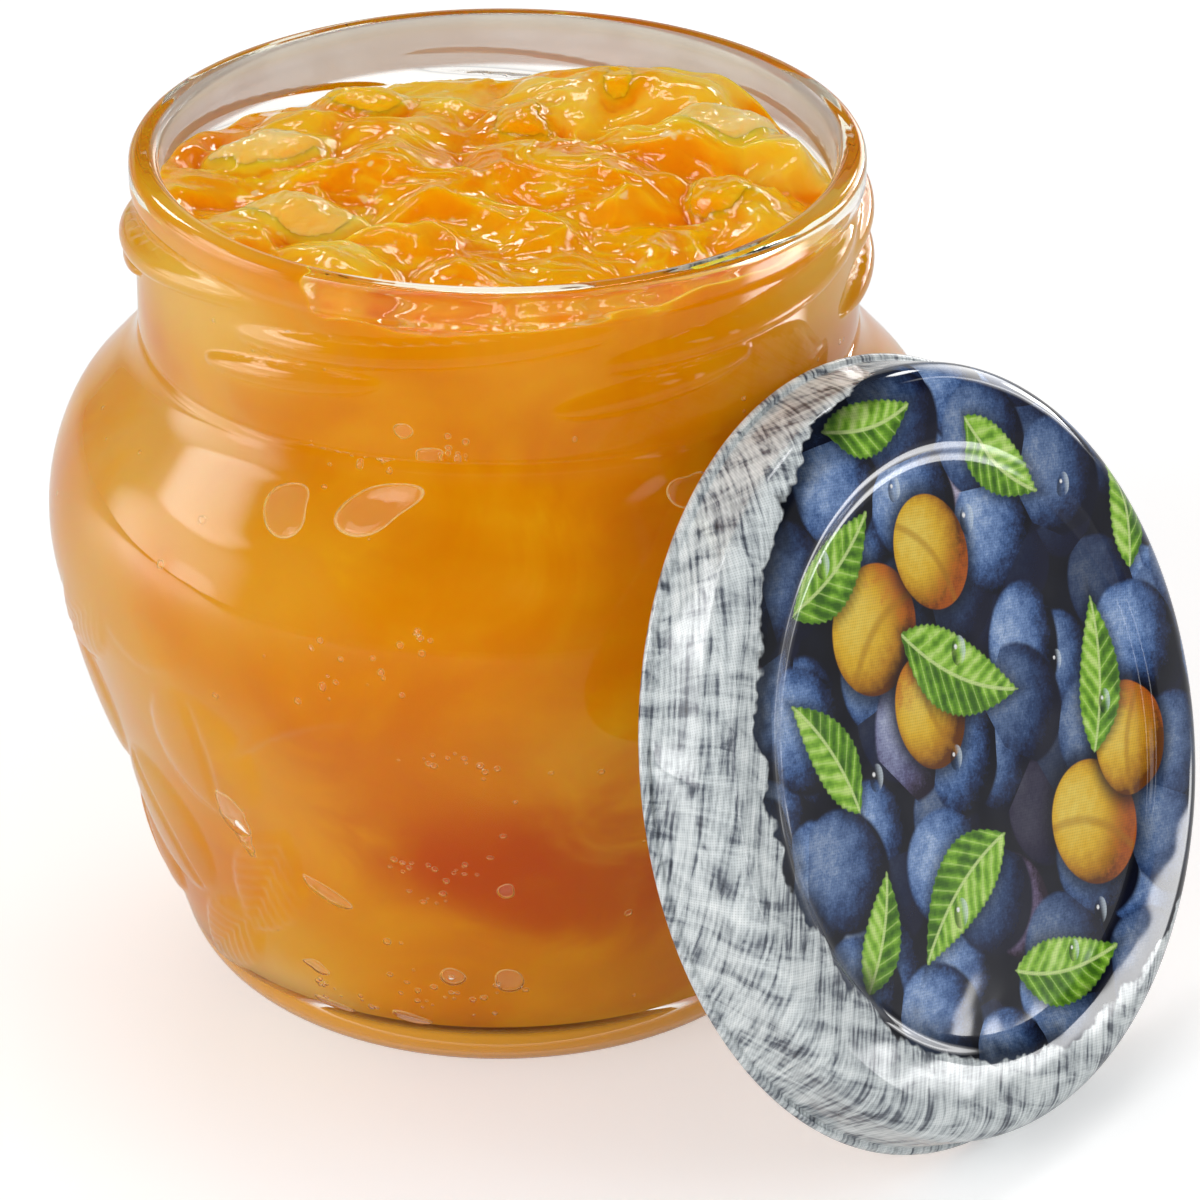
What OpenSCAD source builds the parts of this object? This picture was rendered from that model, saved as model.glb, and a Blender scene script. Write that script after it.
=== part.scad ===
// Wide-mouth twist-off jar filled with fruit jam, its lid leaning against it.
// Origin: the centre of the circle on which the jar stands. +Z up, millimetres.

/* [Jar body] */
// Height of the jar from the table to the rim
jar_h = 95; // [90:0.5:102]
// Diameter of the body at its widest place
belly_d = 97.2; // [94:0.2:101]
// Height of the widest place above the table
belly_h = 54; // [52:0.5:57]
// Radius of the body's curve at the widest place
belly_round = 23; // [20:0.5:25]
// Angle above the horizontal at which the shoulder's corner takes over
belly_end_angle = 26; // [22:1:30]
// Radius of the shoulder's corner
shoulder_round = 12; // [9:0.5:15]
// Angle of the shoulder's surface normal above the horizontal
shoulder_angle = 42; // [38:1:46]
// Diameter of the ring on which the jar stands
foot_d = 51; // [46:0.5:54]
// Width of the flat ring on which the jar stands
foot_land = 4; // [3:0.5:6]
// Radius of the rounded heel
heel_round = 10; // [8:0.5:12]
// Depth of the hollow under the base
push_up = 1.6; // [1:0.1:2.5]
// Thickness of the glass wall
glass_wall = 2.7; // [2.2:0.1:3.2]
// Thickness of the glass floor over the heel
glass_floor = 6.2; // [4.5:0.1:7]

/* [Neck and thread] */
// Diameter of the neck wall
neck_d = 76.8; // [75:0.2:78]
// Radius of the hollow curve between neck and shoulder
neck_hollow = 7; // [5:0.5:9]
// How far the rim's bead stands out from the neck wall
bead_rise = 0.5; // [0.3:0.1:0.8]
// Height of the rim's bead
bead_h = 3.4; // [2.8:0.1:4]
// Radius of the rim's outer and inner edges
rim_round = 1; // [0.6:0.1:1.2]
// Number of thread starts round the neck
thread_starts = 6; // [4:1:6]
// How far a thread ridge stands out from the neck wall
thread_rise = 2; // [1.6:0.1:2.4]
// Radius of a thread ridge's round back
thread_round = 1.6; // [1.3:0.1:1.8]
// Rise of a thread ridge over one whole turn
thread_lead = 25; // [18:1:30]
// How far the middle of each ridge lies below the rim
thread_drop = 7.1; // [6.6:0.1:8]
// How far each ridge's own circle lies off the jar's axis, which fades its ends out
thread_shift = 10; // [8:0.5:12]
// Half of the angle that a ridge spans on its own circle
thread_half_angle = 43; // [38:1:46]
// Turn of the first ridge's middle from +X
thread_turn = 17; // [0:1:59]

/* [Jam] */
// How far the jam's edge lies below the rim where no lump reaches the glass
jam_drop = 6.5; // [6:0.5:10]
// Height of the low mound under the lumps over the jam's edge
jam_crown = 1.4; // [1:0.1:2.5]
// Radius of the balls that round the jam's lumps
lump_round = 12; // [10:0.5:14]
// Radius of the balls that bound the large pieces of fruit
fruit_round = 10.5; // [9:0.5:11]
// Share of its radius by which each of a fruit piece's cut faces is set back
fruit_cut_share = 0.42; // [0.36:0.02:0.5]

/* [Lid] */
// Height of the lid from its curl to its top
lid_h = 10; // [9.4:0.1:11]
// Thickness of the lid's sheet
lid_sheet = 0.3; // [0.2:0.05:0.4]
// Gap between the thread ridges and the lid's curl
lid_gap = 0.3; // [0.2:0.05:0.5]
// Radius of the rolled curl at the lid's lower edge
curl_round = 0.65; // [0.5:0.05:0.8]
// How far the skirt stands inside the curl's outermost circle
skirt_inset = 0.8; // [0.6:0.05:1]
// How much the skirt draws in towards the top
skirt_draw = 0.5; // [0.2:0.1:0.8]
// Radius of the lid's upper edge
lid_edge_round = 3.4; // [2.6:0.1:4]
// Diameter of the lid's sunken middle panel
panel_d = 60.8; // [56:0.2:63]
// How far the middle panel lies below the lid's outer ring
panel_drop = 0.9; // [0.6:0.1:1.2]
// Width of the slope between the outer ring and the middle panel
panel_slope = 1.6; // [1.2:0.1:2.2]
// Number of lugs on the curl
lug_count = 6; // [4:1:6]
// Width of a lug along the curl
lug_w = 8.5; // [7:0.5:10]
// Thickness of a lug
lug_t = 0.9; // [0.7:0.05:1.1]
// Gap between a lug's tip and the neck wall when the lid is on
lug_gap = 0.5; // [0.3:0.1:0.9]
// Thickness of the sealing ring in the lid
seal_t = 1.1; // [0.8:0.1:1.4]
// How far the sealing ring reaches inside the glass bore
seal_margin = 0.8; // [0.5:0.1:1.2]
// Angle above the horizontal down to which the sealing ring lines the lid's rounded edge
seal_end_angle = 40; // [34:1:50]

/* [Lid's place beside the jar] */
// Lean of the lid from upright
lid_lean = 20; // [14:1:26]
// Direction in which the lid lies from the jar, from +X towards +Y
lid_turn = -38; // [-60:1:0]
// Turn of the lid on its own axis
lid_spin = 12; // [0:1:59]
// Clearance between the leaning lid and the jar
lid_clearance = 0.3; // [0.2:0.05:0.6]

/* [Hidden] */

glass_colour = [0.93, 0.86, 0.74, 0.45];
jam_colour = [0.90, 0.50, 0.06];
pale_fruit_colour = [0.91, 0.70, 0.32];
deep_fruit_colour = [0.93, 0.55, 0.10];
lid_colour = [0.16, 0.24, 0.42];
seal_colour = [0.93, 0.92, 0.88];

// Every cut reaches past its face by this much.
overrun = 0.5;
round_steps = 90;
arc_steps = 8;

belly_r = belly_d / 2;
neck_r = neck_d / 2;
bore_r = neck_r - glass_wall;
bead_r = neck_r + bead_rise;
foot_r = foot_d / 2;
thread_r = neck_r + thread_rise;

// Centres of the outline's circles, as [distance from the axis, height].
heel_centre = [foot_r, heel_round];
belly_centre = [belly_r - belly_round, belly_h];
shoulder_centre = belly_centre
    + (belly_round - shoulder_round) * [cos(belly_end_angle), sin(belly_end_angle)];
hollow_r = neck_r + neck_hollow;
// The straight shoulder touches the shoulder's circle and the neck's hollow curve.
shoulder_end = shoulder_centre + shoulder_round * [cos(shoulder_angle), sin(shoulder_angle)];
hollow_touch_r = hollow_r - neck_hollow * cos(shoulder_angle);
hollow_touch_h = shoulder_end[1] + (shoulder_end[0] - hollow_touch_r) / tan(shoulder_angle);
hollow_centre = [hollow_r, hollow_touch_h + neck_hollow * sin(shoulder_angle)];

// Points of an arc from angle a to angle b, both from the outward horizontal.
function arc(centre, radius, a, b) =
    [for (i = [0:arc_steps]) let (t = a + (b - a) * i / arc_steps) centre + radius * [cos(t), sin(t)]];

// Direction of the straight flank that touches two circles on their outer side.
function flank_angle(low, low_r, high, high_r) =
    let (d = high - low) atan2(d[1], d[0]) - acos((low_r - high_r) / norm(d));

// The jar's outer side from the foot up to the neck, or the inner side when inset by the wall.
inner_heel_centre = [foot_r, glass_floor + heel_round - glass_wall];
function side(inset, low) =
    let (low_round = heel_round - inset, high_round = belly_round - inset,
        flank = flank_angle(low, low_round, belly_centre, high_round))
    concat(
        arc(low, low_round, -90, flank),
        arc(belly_centre, high_round, flank, belly_end_angle),
        arc(shoulder_centre, shoulder_round - inset, belly_end_angle, shoulder_angle),
        arc(hollow_centre, neck_hollow + inset, 180 + shoulder_angle, 180));

outer_side = side(0, heel_centre);
inner_side = side(glass_wall, inner_heel_centre);

bead_base_h = jar_h - bead_h;
rim_outer_centre = [bead_r - rim_round, jar_h - rim_round];
rim_inner_centre = [bore_r + rim_round, jar_h - rim_round];
// The glass outside: body, neck, rim bead and rounded lip.
outer_outline = concat(
    [[0, 0]], outer_side,
    [[neck_r, bead_base_h - bead_rise], [bead_r, bead_base_h]],
    arc(rim_outer_centre, rim_round, 0, 90),
    [[0, jar_h]]);

// The space inside the glass, open at the mouth with a rounded inner lip.
module cavity() {
    rotate_extrude($fn = round_steps)
        polygon(concat(
            [[0, glass_floor]], inner_side,
            arc(rim_inner_centre, rim_round, 180, 90),
            [[bore_r + rim_round, jar_h + overrun], [0, jar_h + overrun]]));
}

// One crescent-shaped thread start, tilted to climb along the thread.
thread_tilt = atan(thread_lead / (PI * 2 * thread_r));
module thread_ridge() {
    translate([thread_shift, 0, jar_h - thread_drop])
        rotate([thread_tilt, 0, 0])
            rotate([0, 0, -thread_half_angle])
                rotate_extrude(angle = 2 * thread_half_angle, $fn = round_steps)
                    translate([thread_r - thread_round - thread_shift, 0])
                        circle(r = thread_round, $fn = 32);
}

module glass_jar() {
    hollow_r_under = foot_r - foot_land;
    dome_r = (hollow_r_under * hollow_r_under + push_up * push_up) / (2 * push_up);
    color(glass_colour)
        difference() {
            union() {
                rotate_extrude($fn = round_steps) polygon(outer_outline);
                for (i = [0:thread_starts - 1])
                    rotate([0, 0, thread_turn + i * 360 / thread_starts]) thread_ridge();
            }
            cavity();
            translate([0, 0, push_up - dome_r]) sphere(r = dome_r, $fn = round_steps);
        }
}

// The jam below its lumps: the inner side of the glass up to the jam's edge, and a low mound over it.
jam_edge_h = jar_h - jam_drop;
jam_dome_r = (bore_r * bore_r + jam_crown * jam_crown) / (2 * jam_crown);
jam_dome_angle = acos(bore_r / jam_dome_r);
module jam_filling() {
    rotate_extrude($fn = round_steps)
        polygon(concat(
            [[0, glass_floor]], inner_side,
            arc([0, jam_edge_h + jam_crown - jam_dome_r], jam_dome_r, jam_dome_angle, 90)));
}

// Lumps of set jam: [distance from the axis as a share of the bore's radius, direction,
// depth of the top under the rim as a share of the edge's depth, size as a share of the large ball].
centre_lump_shares = [[0.15, 22, 0.25, 1.0], [0.35, -14, 0.30, 0.9]];
fold_lump_shares = [[0.56, 180, 0.38, 0.8], [0.34, 170, 0.32, 0.8], [0.18, 219, 0.33, 0.9], [0.34, 280, 0.43, 0.9]];
back_lump_shares = [[0.46, 135, 0.48, 0.9], [0.70, 144, 0.48, 0.8], [0.62, 102, 0.70, 0.8], [0.66, 70, 0.40, 0.9],
    [0.83, 48, 0.24, 0.7]];
right_lump_shares = [[0.60, 22, 0.36, 0.9], [0.86, -19, 0.46, 0.8], [0.88, 11, 0.34, 0.6]];
front_lump_shares = [[0.53, 238, 0.46, 0.9], [0.68, 263, 0.54, 1.0], [0.71, 288, 0.58, 1.0], [0.70, 315, 0.62, 1.1]];
left_lump_shares = [[0.80, 231, 0.37, 0.9], [0.90, 206, 0.34, 0.8], [0.87, 184, 0.52, 0.8]];
LUMP_PLACES = concat(centre_lump_shares, fold_lump_shares, back_lump_shares, right_lump_shares,
    front_lump_shares, left_lump_shares);

// A ball whose top is the lump's top.
module lump(place) {
    size = lump_round * place[3];
    rotate([0, 0, place[1]])
        translate([bore_r * place[0], 0, jar_h - jam_drop * place[2] - size])
            sphere(r = size, $fn = 48);
}

// The lumps stand on the filling, between the walls of the glass.
module jam_lumps() {
    intersection() {
        translate([0, 0, jam_edge_h - overrun]) cylinder(r = bore_r, h = jam_drop + overrun, $fn = round_steps);
        union() for (place = LUMP_PLACES) lump(place);
    }
}

// Fruit pieces: [distance from the axis as a share of the bore's radius, direction,
// height of the centre under the rim as a share of the piece's radius, size as a share of
// the large piece, direction of its long side, tilt].
fruit_left_shares = [0.72, 161, 0.74, 0.94, -71, 72];
fruit_back_left_shares = [0.74, 125, 0.84, 0.84, -20, 76];
fruit_front_left_shares = [0.68, 205, 0.70, 1.00, -115, 72];
fruit_middle_shares = [0.42, 82, 0.84, 0.80, 95, 72];
fruit_back_middle_shares = [0.76, 60, 0.70, 0.80, -10, 74];
fruit_back_right_shares = [0.73, 26, 0.68, 0.96, -113, 74];
fruit_right_shares = [0.70, -11, 0.78, 0.88, 10, 74];
FRUIT_PLACES = [fruit_left_shares, fruit_back_left_shares, fruit_front_left_shares, fruit_middle_shares,
    fruit_back_middle_shares, fruit_back_right_shares, fruit_right_shares];

// A wedge of fruit: what three balls, set off to three sides, have in common.
module fruit_piece(place) {
    size = fruit_round * place[3];
    offset_r = size * fruit_cut_share;
    rotate([0, 0, place[1]])
        translate([bore_r * place[0], 0, jar_h - size * place[2]])
            rotate([place[5], 0, place[4]])
                intersection_for(side_turn = [0, 120, 240])
                    rotate([0, 0, side_turn]) translate([offset_r, 0, 0]) sphere(r = size, $fn = 48);
}

module jam() {
    color(jam_colour)
        difference() {
            union() {
                jam_filling();
                jam_lumps();
            }
            for (place = FRUIT_PLACES) fruit_piece(place);
        }
}

module fruit_piece_left() { color(pale_fruit_colour) fruit_piece(fruit_left_shares); }
module fruit_piece_back_left() { color(deep_fruit_colour) fruit_piece(fruit_back_left_shares); }
module fruit_piece_front_left() { color(pale_fruit_colour) fruit_piece(fruit_front_left_shares); }
module fruit_piece_middle() { color(deep_fruit_colour) fruit_piece(fruit_middle_shares); }
module fruit_piece_back_middle() { color(deep_fruit_colour) fruit_piece(fruit_back_middle_shares); }
module fruit_piece_back_right() { color(pale_fruit_colour) fruit_piece(fruit_back_right_shares); }
module fruit_piece_right() { color(deep_fruit_colour) fruit_piece(fruit_right_shares); }

// The lid, in its own frame: the curl's lowest circle at height 0, the top outwards along +Z.
curl_centre_r = thread_r + lid_gap + curl_round;
lid_r = curl_centre_r + curl_round;
skirt_r = lid_r - skirt_inset;
skirt_top_r = skirt_r - skirt_draw;
ring_inner_r = panel_d / 2 + panel_slope;
// The edge's rounding ends within the flat ring that carries it.
edge_room_share = 0.9;
edge_round = min(lid_edge_round, edge_room_share * (skirt_top_r - ring_inner_r));
lid_edge_centre = [skirt_top_r - edge_round, lid_h - edge_round];

// The sheet's outer face from the curl up over the edge to the middle, or its inner face when inset.
function lid_face(inset) = concat(
    [[skirt_r - inset, curl_round]],
    arc(lid_edge_centre, edge_round - inset, 0, 90),
    [[ring_inner_r, lid_h - inset], [panel_d / 2, lid_h - panel_drop - inset],
        [0, lid_h - panel_drop - inset]]);

function reversed(list) = [for (i = [len(list) - 1:-1:0]) list[i]];

// A lug: the curl pressed inwards to a flat round-cornered tongue that hooks under a ridge.
lug_tip_r = neck_r + lug_gap;
lug_corner = lug_t;
module lug() {
    reach = curl_centre_r - lug_tip_r;
    translate([0, 0, curl_round - lug_t / 2])
        linear_extrude(height = lug_t) {
            for (end = [-1, 1])
                translate([lug_tip_r + lug_corner, end * (lug_w / 2 - lug_corner)])
                    circle(r = lug_corner, $fn = 24);
            translate([lug_tip_r, lug_corner - lug_w / 2])
                square([reach, lug_w - 2 * lug_corner]);
            translate([lug_tip_r + lug_corner, -lug_w / 2]) square([reach - lug_corner, lug_w]);
        }
}

module lid_body() {
    rotate_extrude($fn = round_steps)
        polygon(concat(lid_face(0), reversed(lid_face(lid_sheet))));
    rotate_extrude($fn = round_steps)
        translate([curl_centre_r, curl_round]) circle(r = curl_round, $fn = 24);
    for (i = [0:lug_count - 1]) rotate([0, 0, i * 360 / lug_count]) lug();
}

// The sealing ring lines the sheet from inside the glass rim, over the lid's edge, to past the bead.
seal_inner_r = bore_r - seal_margin;
seal_face_h = lid_h - lid_sheet - seal_t;
seal_end_h = lid_edge_centre[1] + (edge_round - lid_sheet - seal_t) * sin(seal_end_angle);
module seal_body() {
    rotate_extrude($fn = round_steps)
        intersection() {
            polygon(concat(lid_face(lid_sheet), reversed(lid_face(lid_sheet + seal_t))));
            translate([seal_inner_r, seal_end_h]) square([lid_r, lid_h]);
        }
}

// The lid stands on the table on its curl and leans on the jar's body. Its distance from the jar's
// axis is the least at which every ring of the lid clears the glass, found by halving.
wall_table = [for (p = concat(outer_side, [[neck_r, bead_base_h], [bead_r, bead_base_h],
    [bead_r, jar_h]])) [p[1], p[0]]];
function wall_r(h) = lookup(h, wall_table);

lid_rings = concat(
    [for (t = [0:45:315]) [curl_centre_r + curl_round * cos(t), curl_round + curl_round * sin(t)]],
    [for (h = [curl_round - lug_t / 2, curl_round + lug_t / 2]) [lug_tip_r, h]],
    [for (r = [seal_inner_r, lid_edge_centre[0]]) [r, seal_face_h]],
    [for (i = [0:arc_steps]) [panel_d / 2 * i / arc_steps, lid_h - panel_drop - lid_sheet]],
    lid_face(0));
lid_centre_h = curl_centre_r * cos(lid_lean) - curl_round * sin(lid_lean) + curl_round;
ring_step = 5;

// A lid point [radius, height] at an angle, as [distance outwards, sideways, height] from the jar.
function lid_point(p, t, away) = [
    away + p[0] * cos(t) * sin(lid_lean) + p[1] * cos(lid_lean),
    p[0] * sin(t),
    lid_centre_h - p[0] * cos(t) * cos(lid_lean) + p[1] * sin(lid_lean)];
function point_clearance(q) = norm([q[0], q[1]]) - wall_r(q[2]);
function lid_clearance_at(away) = min([for (p = lid_rings) for (t = [0:ring_step:180])
    point_clearance(lid_point(p, t, away))]);
function least_distance(near, far, halvings) =
    halvings == 0 ? far :
    let (middle = (near + far) / 2)
    lid_clearance_at(middle) > lid_clearance
        ? least_distance(near, middle, halvings - 1)
        : least_distance(middle, far, halvings - 1);
distance_halvings = 14;
lid_distance = least_distance(foot_r, belly_r + lid_r, distance_halvings);

module place_lid() {
    rotate([0, 0, lid_turn])
        translate([lid_distance, 0, lid_centre_h])
            rotate([0, 90 - lid_lean, 0])
                rotate([0, 0, lid_spin]) children();
}

module lid_shell() { color(lid_colour) place_lid() lid_body(); }
module lid_seal() { color(seal_colour) place_lid() seal_body(); }

glass_jar();
jam();
fruit_piece_left();
fruit_piece_back_left();
fruit_piece_front_left();
fruit_piece_middle();
fruit_piece_back_middle();
fruit_piece_back_right();
fruit_piece_right();
lid_shell();
lid_seal();
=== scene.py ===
from math import acos, atan2, cos, degrees, hypot, pi, radians, sin, tan

import bmesh
import bpy
import numpy as np
from mathutils import Matrix, Vector, noise
from mathutils.bvhtree import BVHTree


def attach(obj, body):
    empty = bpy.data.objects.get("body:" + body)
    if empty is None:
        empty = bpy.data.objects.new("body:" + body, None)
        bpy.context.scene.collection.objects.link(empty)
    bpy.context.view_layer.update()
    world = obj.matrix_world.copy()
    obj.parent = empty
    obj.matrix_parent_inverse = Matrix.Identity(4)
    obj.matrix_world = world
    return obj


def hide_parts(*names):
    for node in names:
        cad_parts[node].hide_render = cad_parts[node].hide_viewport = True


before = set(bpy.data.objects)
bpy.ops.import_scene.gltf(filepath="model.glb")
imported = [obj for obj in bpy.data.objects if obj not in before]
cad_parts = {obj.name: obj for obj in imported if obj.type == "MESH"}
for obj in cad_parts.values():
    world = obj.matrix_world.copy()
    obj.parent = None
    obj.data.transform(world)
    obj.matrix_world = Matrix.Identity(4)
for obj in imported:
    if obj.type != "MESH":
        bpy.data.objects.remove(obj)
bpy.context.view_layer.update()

MM = 0.001

# Camera, lights, floor.
CAMERA_AT = Vector((0, -0.68287, 0.38623))
FRAME_CENTRE = (112.7, 77)     # where the frame's centre lies from the rim view's axis
RIM_FOCAL, RIM_PITCH, LENS_MM = 8000, radians(26.26), 211
WHITE = (1, 1, 1, 1)

look = Vector((0, cos(RIM_PITCH), -sin(RIM_PITCH)))
right = Vector((1, 0, 0))
up = right.cross(look)
aim = look * RIM_FOCAL + right * FRAME_CENTRE[0] - up * FRAME_CENTRE[1]
cam_data = bpy.data.cameras.new("camera")
cam = bpy.data.objects.new("camera", cam_data)
bpy.context.collection.objects.link(cam)
cam.location = CAMERA_AT
cam.rotation_mode = "QUATERNION"
cam.rotation_quaternion = aim.to_track_quat("-Z", "Y")
cam_data.sensor_width = 36
cam_data.lens = LENS_MM
cam_data.clip_start = 0.01
cam_data.clip_end = 20
bpy.context.scene.camera = cam
bpy.context.scene.view_settings.view_transform = "Standard"


class Value:
    """An output of a node, on which plain arithmetic makes further nodes."""

    def __init__(self, shader, socket):
        self.shader, self.socket = shader, socket

    def __abs__(self):
        return self.shader.math("ABSOLUTE", self)


for sign, op in (("add", "ADD"), ("sub", "SUBTRACT"), ("mul", "MULTIPLY"), ("truediv", "DIVIDE"),
                 ("pow", "POWER")):
    setattr(Value, f"__{sign}__", lambda a, b, op=op: a.shader.math(op, a, b))
    setattr(Value, f"__r{sign}__", lambda a, b, op=op: a.shader.math(op, b, a))


class Shader:
    """A material's or world's node tree, built by calls that return values."""

    def __init__(self, name, world=False):
        self.data = (bpy.data.worlds if world else bpy.data.materials).new(name)
        self.data.use_nodes = True
        self.tree = self.data.node_tree
        self.tree.nodes.clear()
        self.out = self.tree.nodes.new("ShaderNodeOutputWorld" if world else "ShaderNodeOutputMaterial")

    def put(self, socket, value):
        if isinstance(value, Value):
            self.tree.links.new(value.socket, socket)
        else:
            socket.default_value = value

    def node(self, kind, inputs=None, **settings):
        made = self.tree.nodes.new("ShaderNode" + kind)
        for key, value in settings.items():
            setattr(made, key, value)
        for key, value in (inputs or {}).items():
            self.put(made.inputs[key], value)
        return made

    def value(self, kind, inputs=None, out=0, **settings):
        return Value(self, self.node(kind, inputs, **settings).outputs[out])

    def math(self, op, a, b=0):
        return self.value("Math", {0: a, 1: b}, operation=op)

    def vec(self, op, a, b=(0, 0, 0)):
        out = "Value" if op in ("LENGTH", "DISTANCE", "DOT_PRODUCT") else "Vector"
        return self.value("VectorMath", {0: a, 1: b}, out, operation=op)

    def dot(self, a, b):
        return self.vec("DOT_PRODUCT", a, tuple(b))

    def split(self, vector):
        outputs = self.node("SeparateXYZ", {0: vector}).outputs
        return [Value(self, outputs[i]) for i in range(3)]

    def join(self, x, y):
        return self.value("CombineXYZ", {0: x, 1: y})

    def place(self):
        return self.value("TexCoord", out="Object")

    def attribute(self, name):
        return self.value("Attribute", out="Fac", attribute_name=name)

    def ray(self, kind):
        return self.value("LightPath", out=f"Is {kind} Ray")

    def mix(self, fac, a, b):
        made = self.node("Mix", {0: fac}, data_type="RGBA", clamp_factor=True)
        for socket, value in ((made.inputs[6], a), (made.inputs[7], b)):
            self.put(socket, (*value, 1) if isinstance(value, tuple) else value)
        return Value(self, made.outputs[2])

    def step(self, value, low, high, a=0, b=1):
        return self.value("MapRange", {"Value": value, "From Min": low, "From Max": high, "To Min": a,
            "To Max": b}, interpolation_type="SMOOTHSTEP")

    def ramp(self, fac, stops):
        made = self.node("ValToRGB", {"Fac": fac})
        elements = made.color_ramp.elements
        while len(elements) < len(stops):
            elements.new(0.5)
        for element, (at, colour) in zip(elements, stops):
            element.position, element.color = at, (*colour, 1)
        return Value(self, made.outputs["Color"])

    def noise(self, vector, scale, detail=3, rough=0.5, warp=0):
        return self.value("TexNoise", {"Vector": vector, "Scale": scale, "Detail": detail,
            "Roughness": rough, "Distortion": warp}, "Fac")

    def bump(self, height, distance, strength):
        return self.value("Bump", {"Height": height, "Distance": distance, "Strength": strength})

    def blend(self, fac, a, b):
        return self.value("MixShader", {0: fac, 1: a, 2: b})

    def diffuse(self, colour):
        return self.value("BsdfDiffuse", {"Color": colour})

    def principled(self, **values):
        made = self.node("BsdfPrincipled")
        for key, value in values.items():
            name = key.replace("_", " ").title().replace("Ior", "IOR")
            colour = isinstance(value, tuple) and "Radius" not in name
            self.put(made.inputs[name], (*value, 1) if colour else value)
        return Value(self, made.outputs[0])

    def wet_flesh(self, colour, normal, radius, scale, coat_ior):
        """Light-scattering flesh under a wet, glossy skin."""
        return self.surface(self.principled(base_color=colour, roughness=0.3, subsurface_weight=1,
            subsurface_radius=radius, subsurface_scale=scale, specular_ior_level=0, coat_weight=1,
            coat_roughness=0.04, coat_ior=coat_ior, normal=normal, coat_normal=normal))

    def surface(self, shader):
        self.put(self.out.inputs["Surface"], shader)
        return self.data

    def glass_surface(self, shader, tint):
        """The shader as seen, and a clear sheet for light on its way to what lies behind."""
        through = self.math("MAXIMUM", self.ray("Shadow"), self.ray("Diffuse"))
        return self.surface(self.blend(through, shader, self.value("BsdfTransparent",
            {"Color": (*tint, 1)})))


# Soft boxes that gloss and glass reflect: direction and height in degrees, half width and half
# height as tangents, share of the box that is its soft edge, strength.
SOFT_BOXES = [
    (178, 8, 0.52, 0.5, 1, 6), (174, 33, 0.34, 0.17, 1, 12), (188, 2, 0.16, 0.1, 0.8, 4),
    (54, 4, 0.5, 0.36, 0.9, 4.4), (52, 2, 0.13, 0.1, 0.6, 11), (92, 10, 0.8, 0.17, 0.9, 0.4),
    (66, 26, 0.09, 0.07, 0.8, 13), (108, 32, 0.12, 0.06, 0.8, 13), (88, 48, 0.16, 0.06, 0.8, 10),
    (104, 66, 0.16, 0.08, 0.8, 10), (150, 40, 0.14, 0.08, 0.8, 8), (-40, 34, 0.08, 0.34, 1, 3),
    (-28, 5, 0.05, 0.5, 1, 5), (38, 10, 0.05, 0.4, 1, 5)]
BOX_POWER = 2.6          # how square the boxes are
HORIZON_GLOW = 0.36
GLOSS_SKY, LIGHT_SKY = 0.07, 0.42
# How much brighter the floor looks than its lit paint.
FLOOR_LIFT, FLOOR_HALF = 0.34, 6
LIT_POINT = Vector((0, 0, 0.05))
# Patches of floor that gloss and glass see lit: middle and half size in metres, where the soft edge
# begins as a share of the size, strength.
FLOOR_GLOWS = [(-1.5, 0, 1.4, 0.45, 0.6, 5), (0.245, 0, 0.11, 0.065, 0.5, 11)]


def direction(az, el):
    a, e = radians(az), radians(el)
    return Vector((cos(a) * cos(e), sin(a) * cos(e), sin(e)))


def make_world():
    s = Shader("studio", world=True)
    ray = s.vec("NORMALIZE", s.value("TexCoord", out="Generated"))
    glow = s.step(s.split(ray)[2], -0.05, 0.36, HORIZON_GLOW, GLOSS_SKY)
    for az, el, half_w, half_h, soft, strength in SOFT_BOXES:
        n = direction(az, el)
        u = n.cross(Vector((0, 0, 1))).normalized()
        depth = s.dot(ray, n)
        off_u, off_v = (abs(s.dot(ray, side) / depth) ** BOX_POWER
            for side in (u / half_w, u.cross(n) / half_h))
        box = s.step(off_u + off_v, 1 - soft, 1, 1, 0) * s.math("GREATER_THAN", depth, 0.05)
        glow = box * strength + glow
    reflected, light, white = (s.value("Background", {"Color": WHITE, "Strength": strength})
        for strength in (glow, LIGHT_SKY, 1))
    seen = s.math("MAXIMUM", s.ray("Camera"), s.ray("Transmission"))
    bpy.context.scene.world = s.surface(s.blend(seen, s.blend(s.ray("Glossy"), light, reflected), white))


def area_light(name, at, size, power):
    data = bpy.data.lights.new(name, "AREA")
    data.shape = "RECTANGLE"
    data.size, data.size_y = size
    data.energy = power
    lamp = bpy.data.objects.new(name, data)
    bpy.context.collection.objects.link(lamp)
    lamp.location = at
    lamp.rotation_mode = "QUATERNION"
    lamp.rotation_quaternion = (LIT_POINT - Vector(at)).to_track_quat("-Z", "Y")
    lamp.visible_glossy = False


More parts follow.
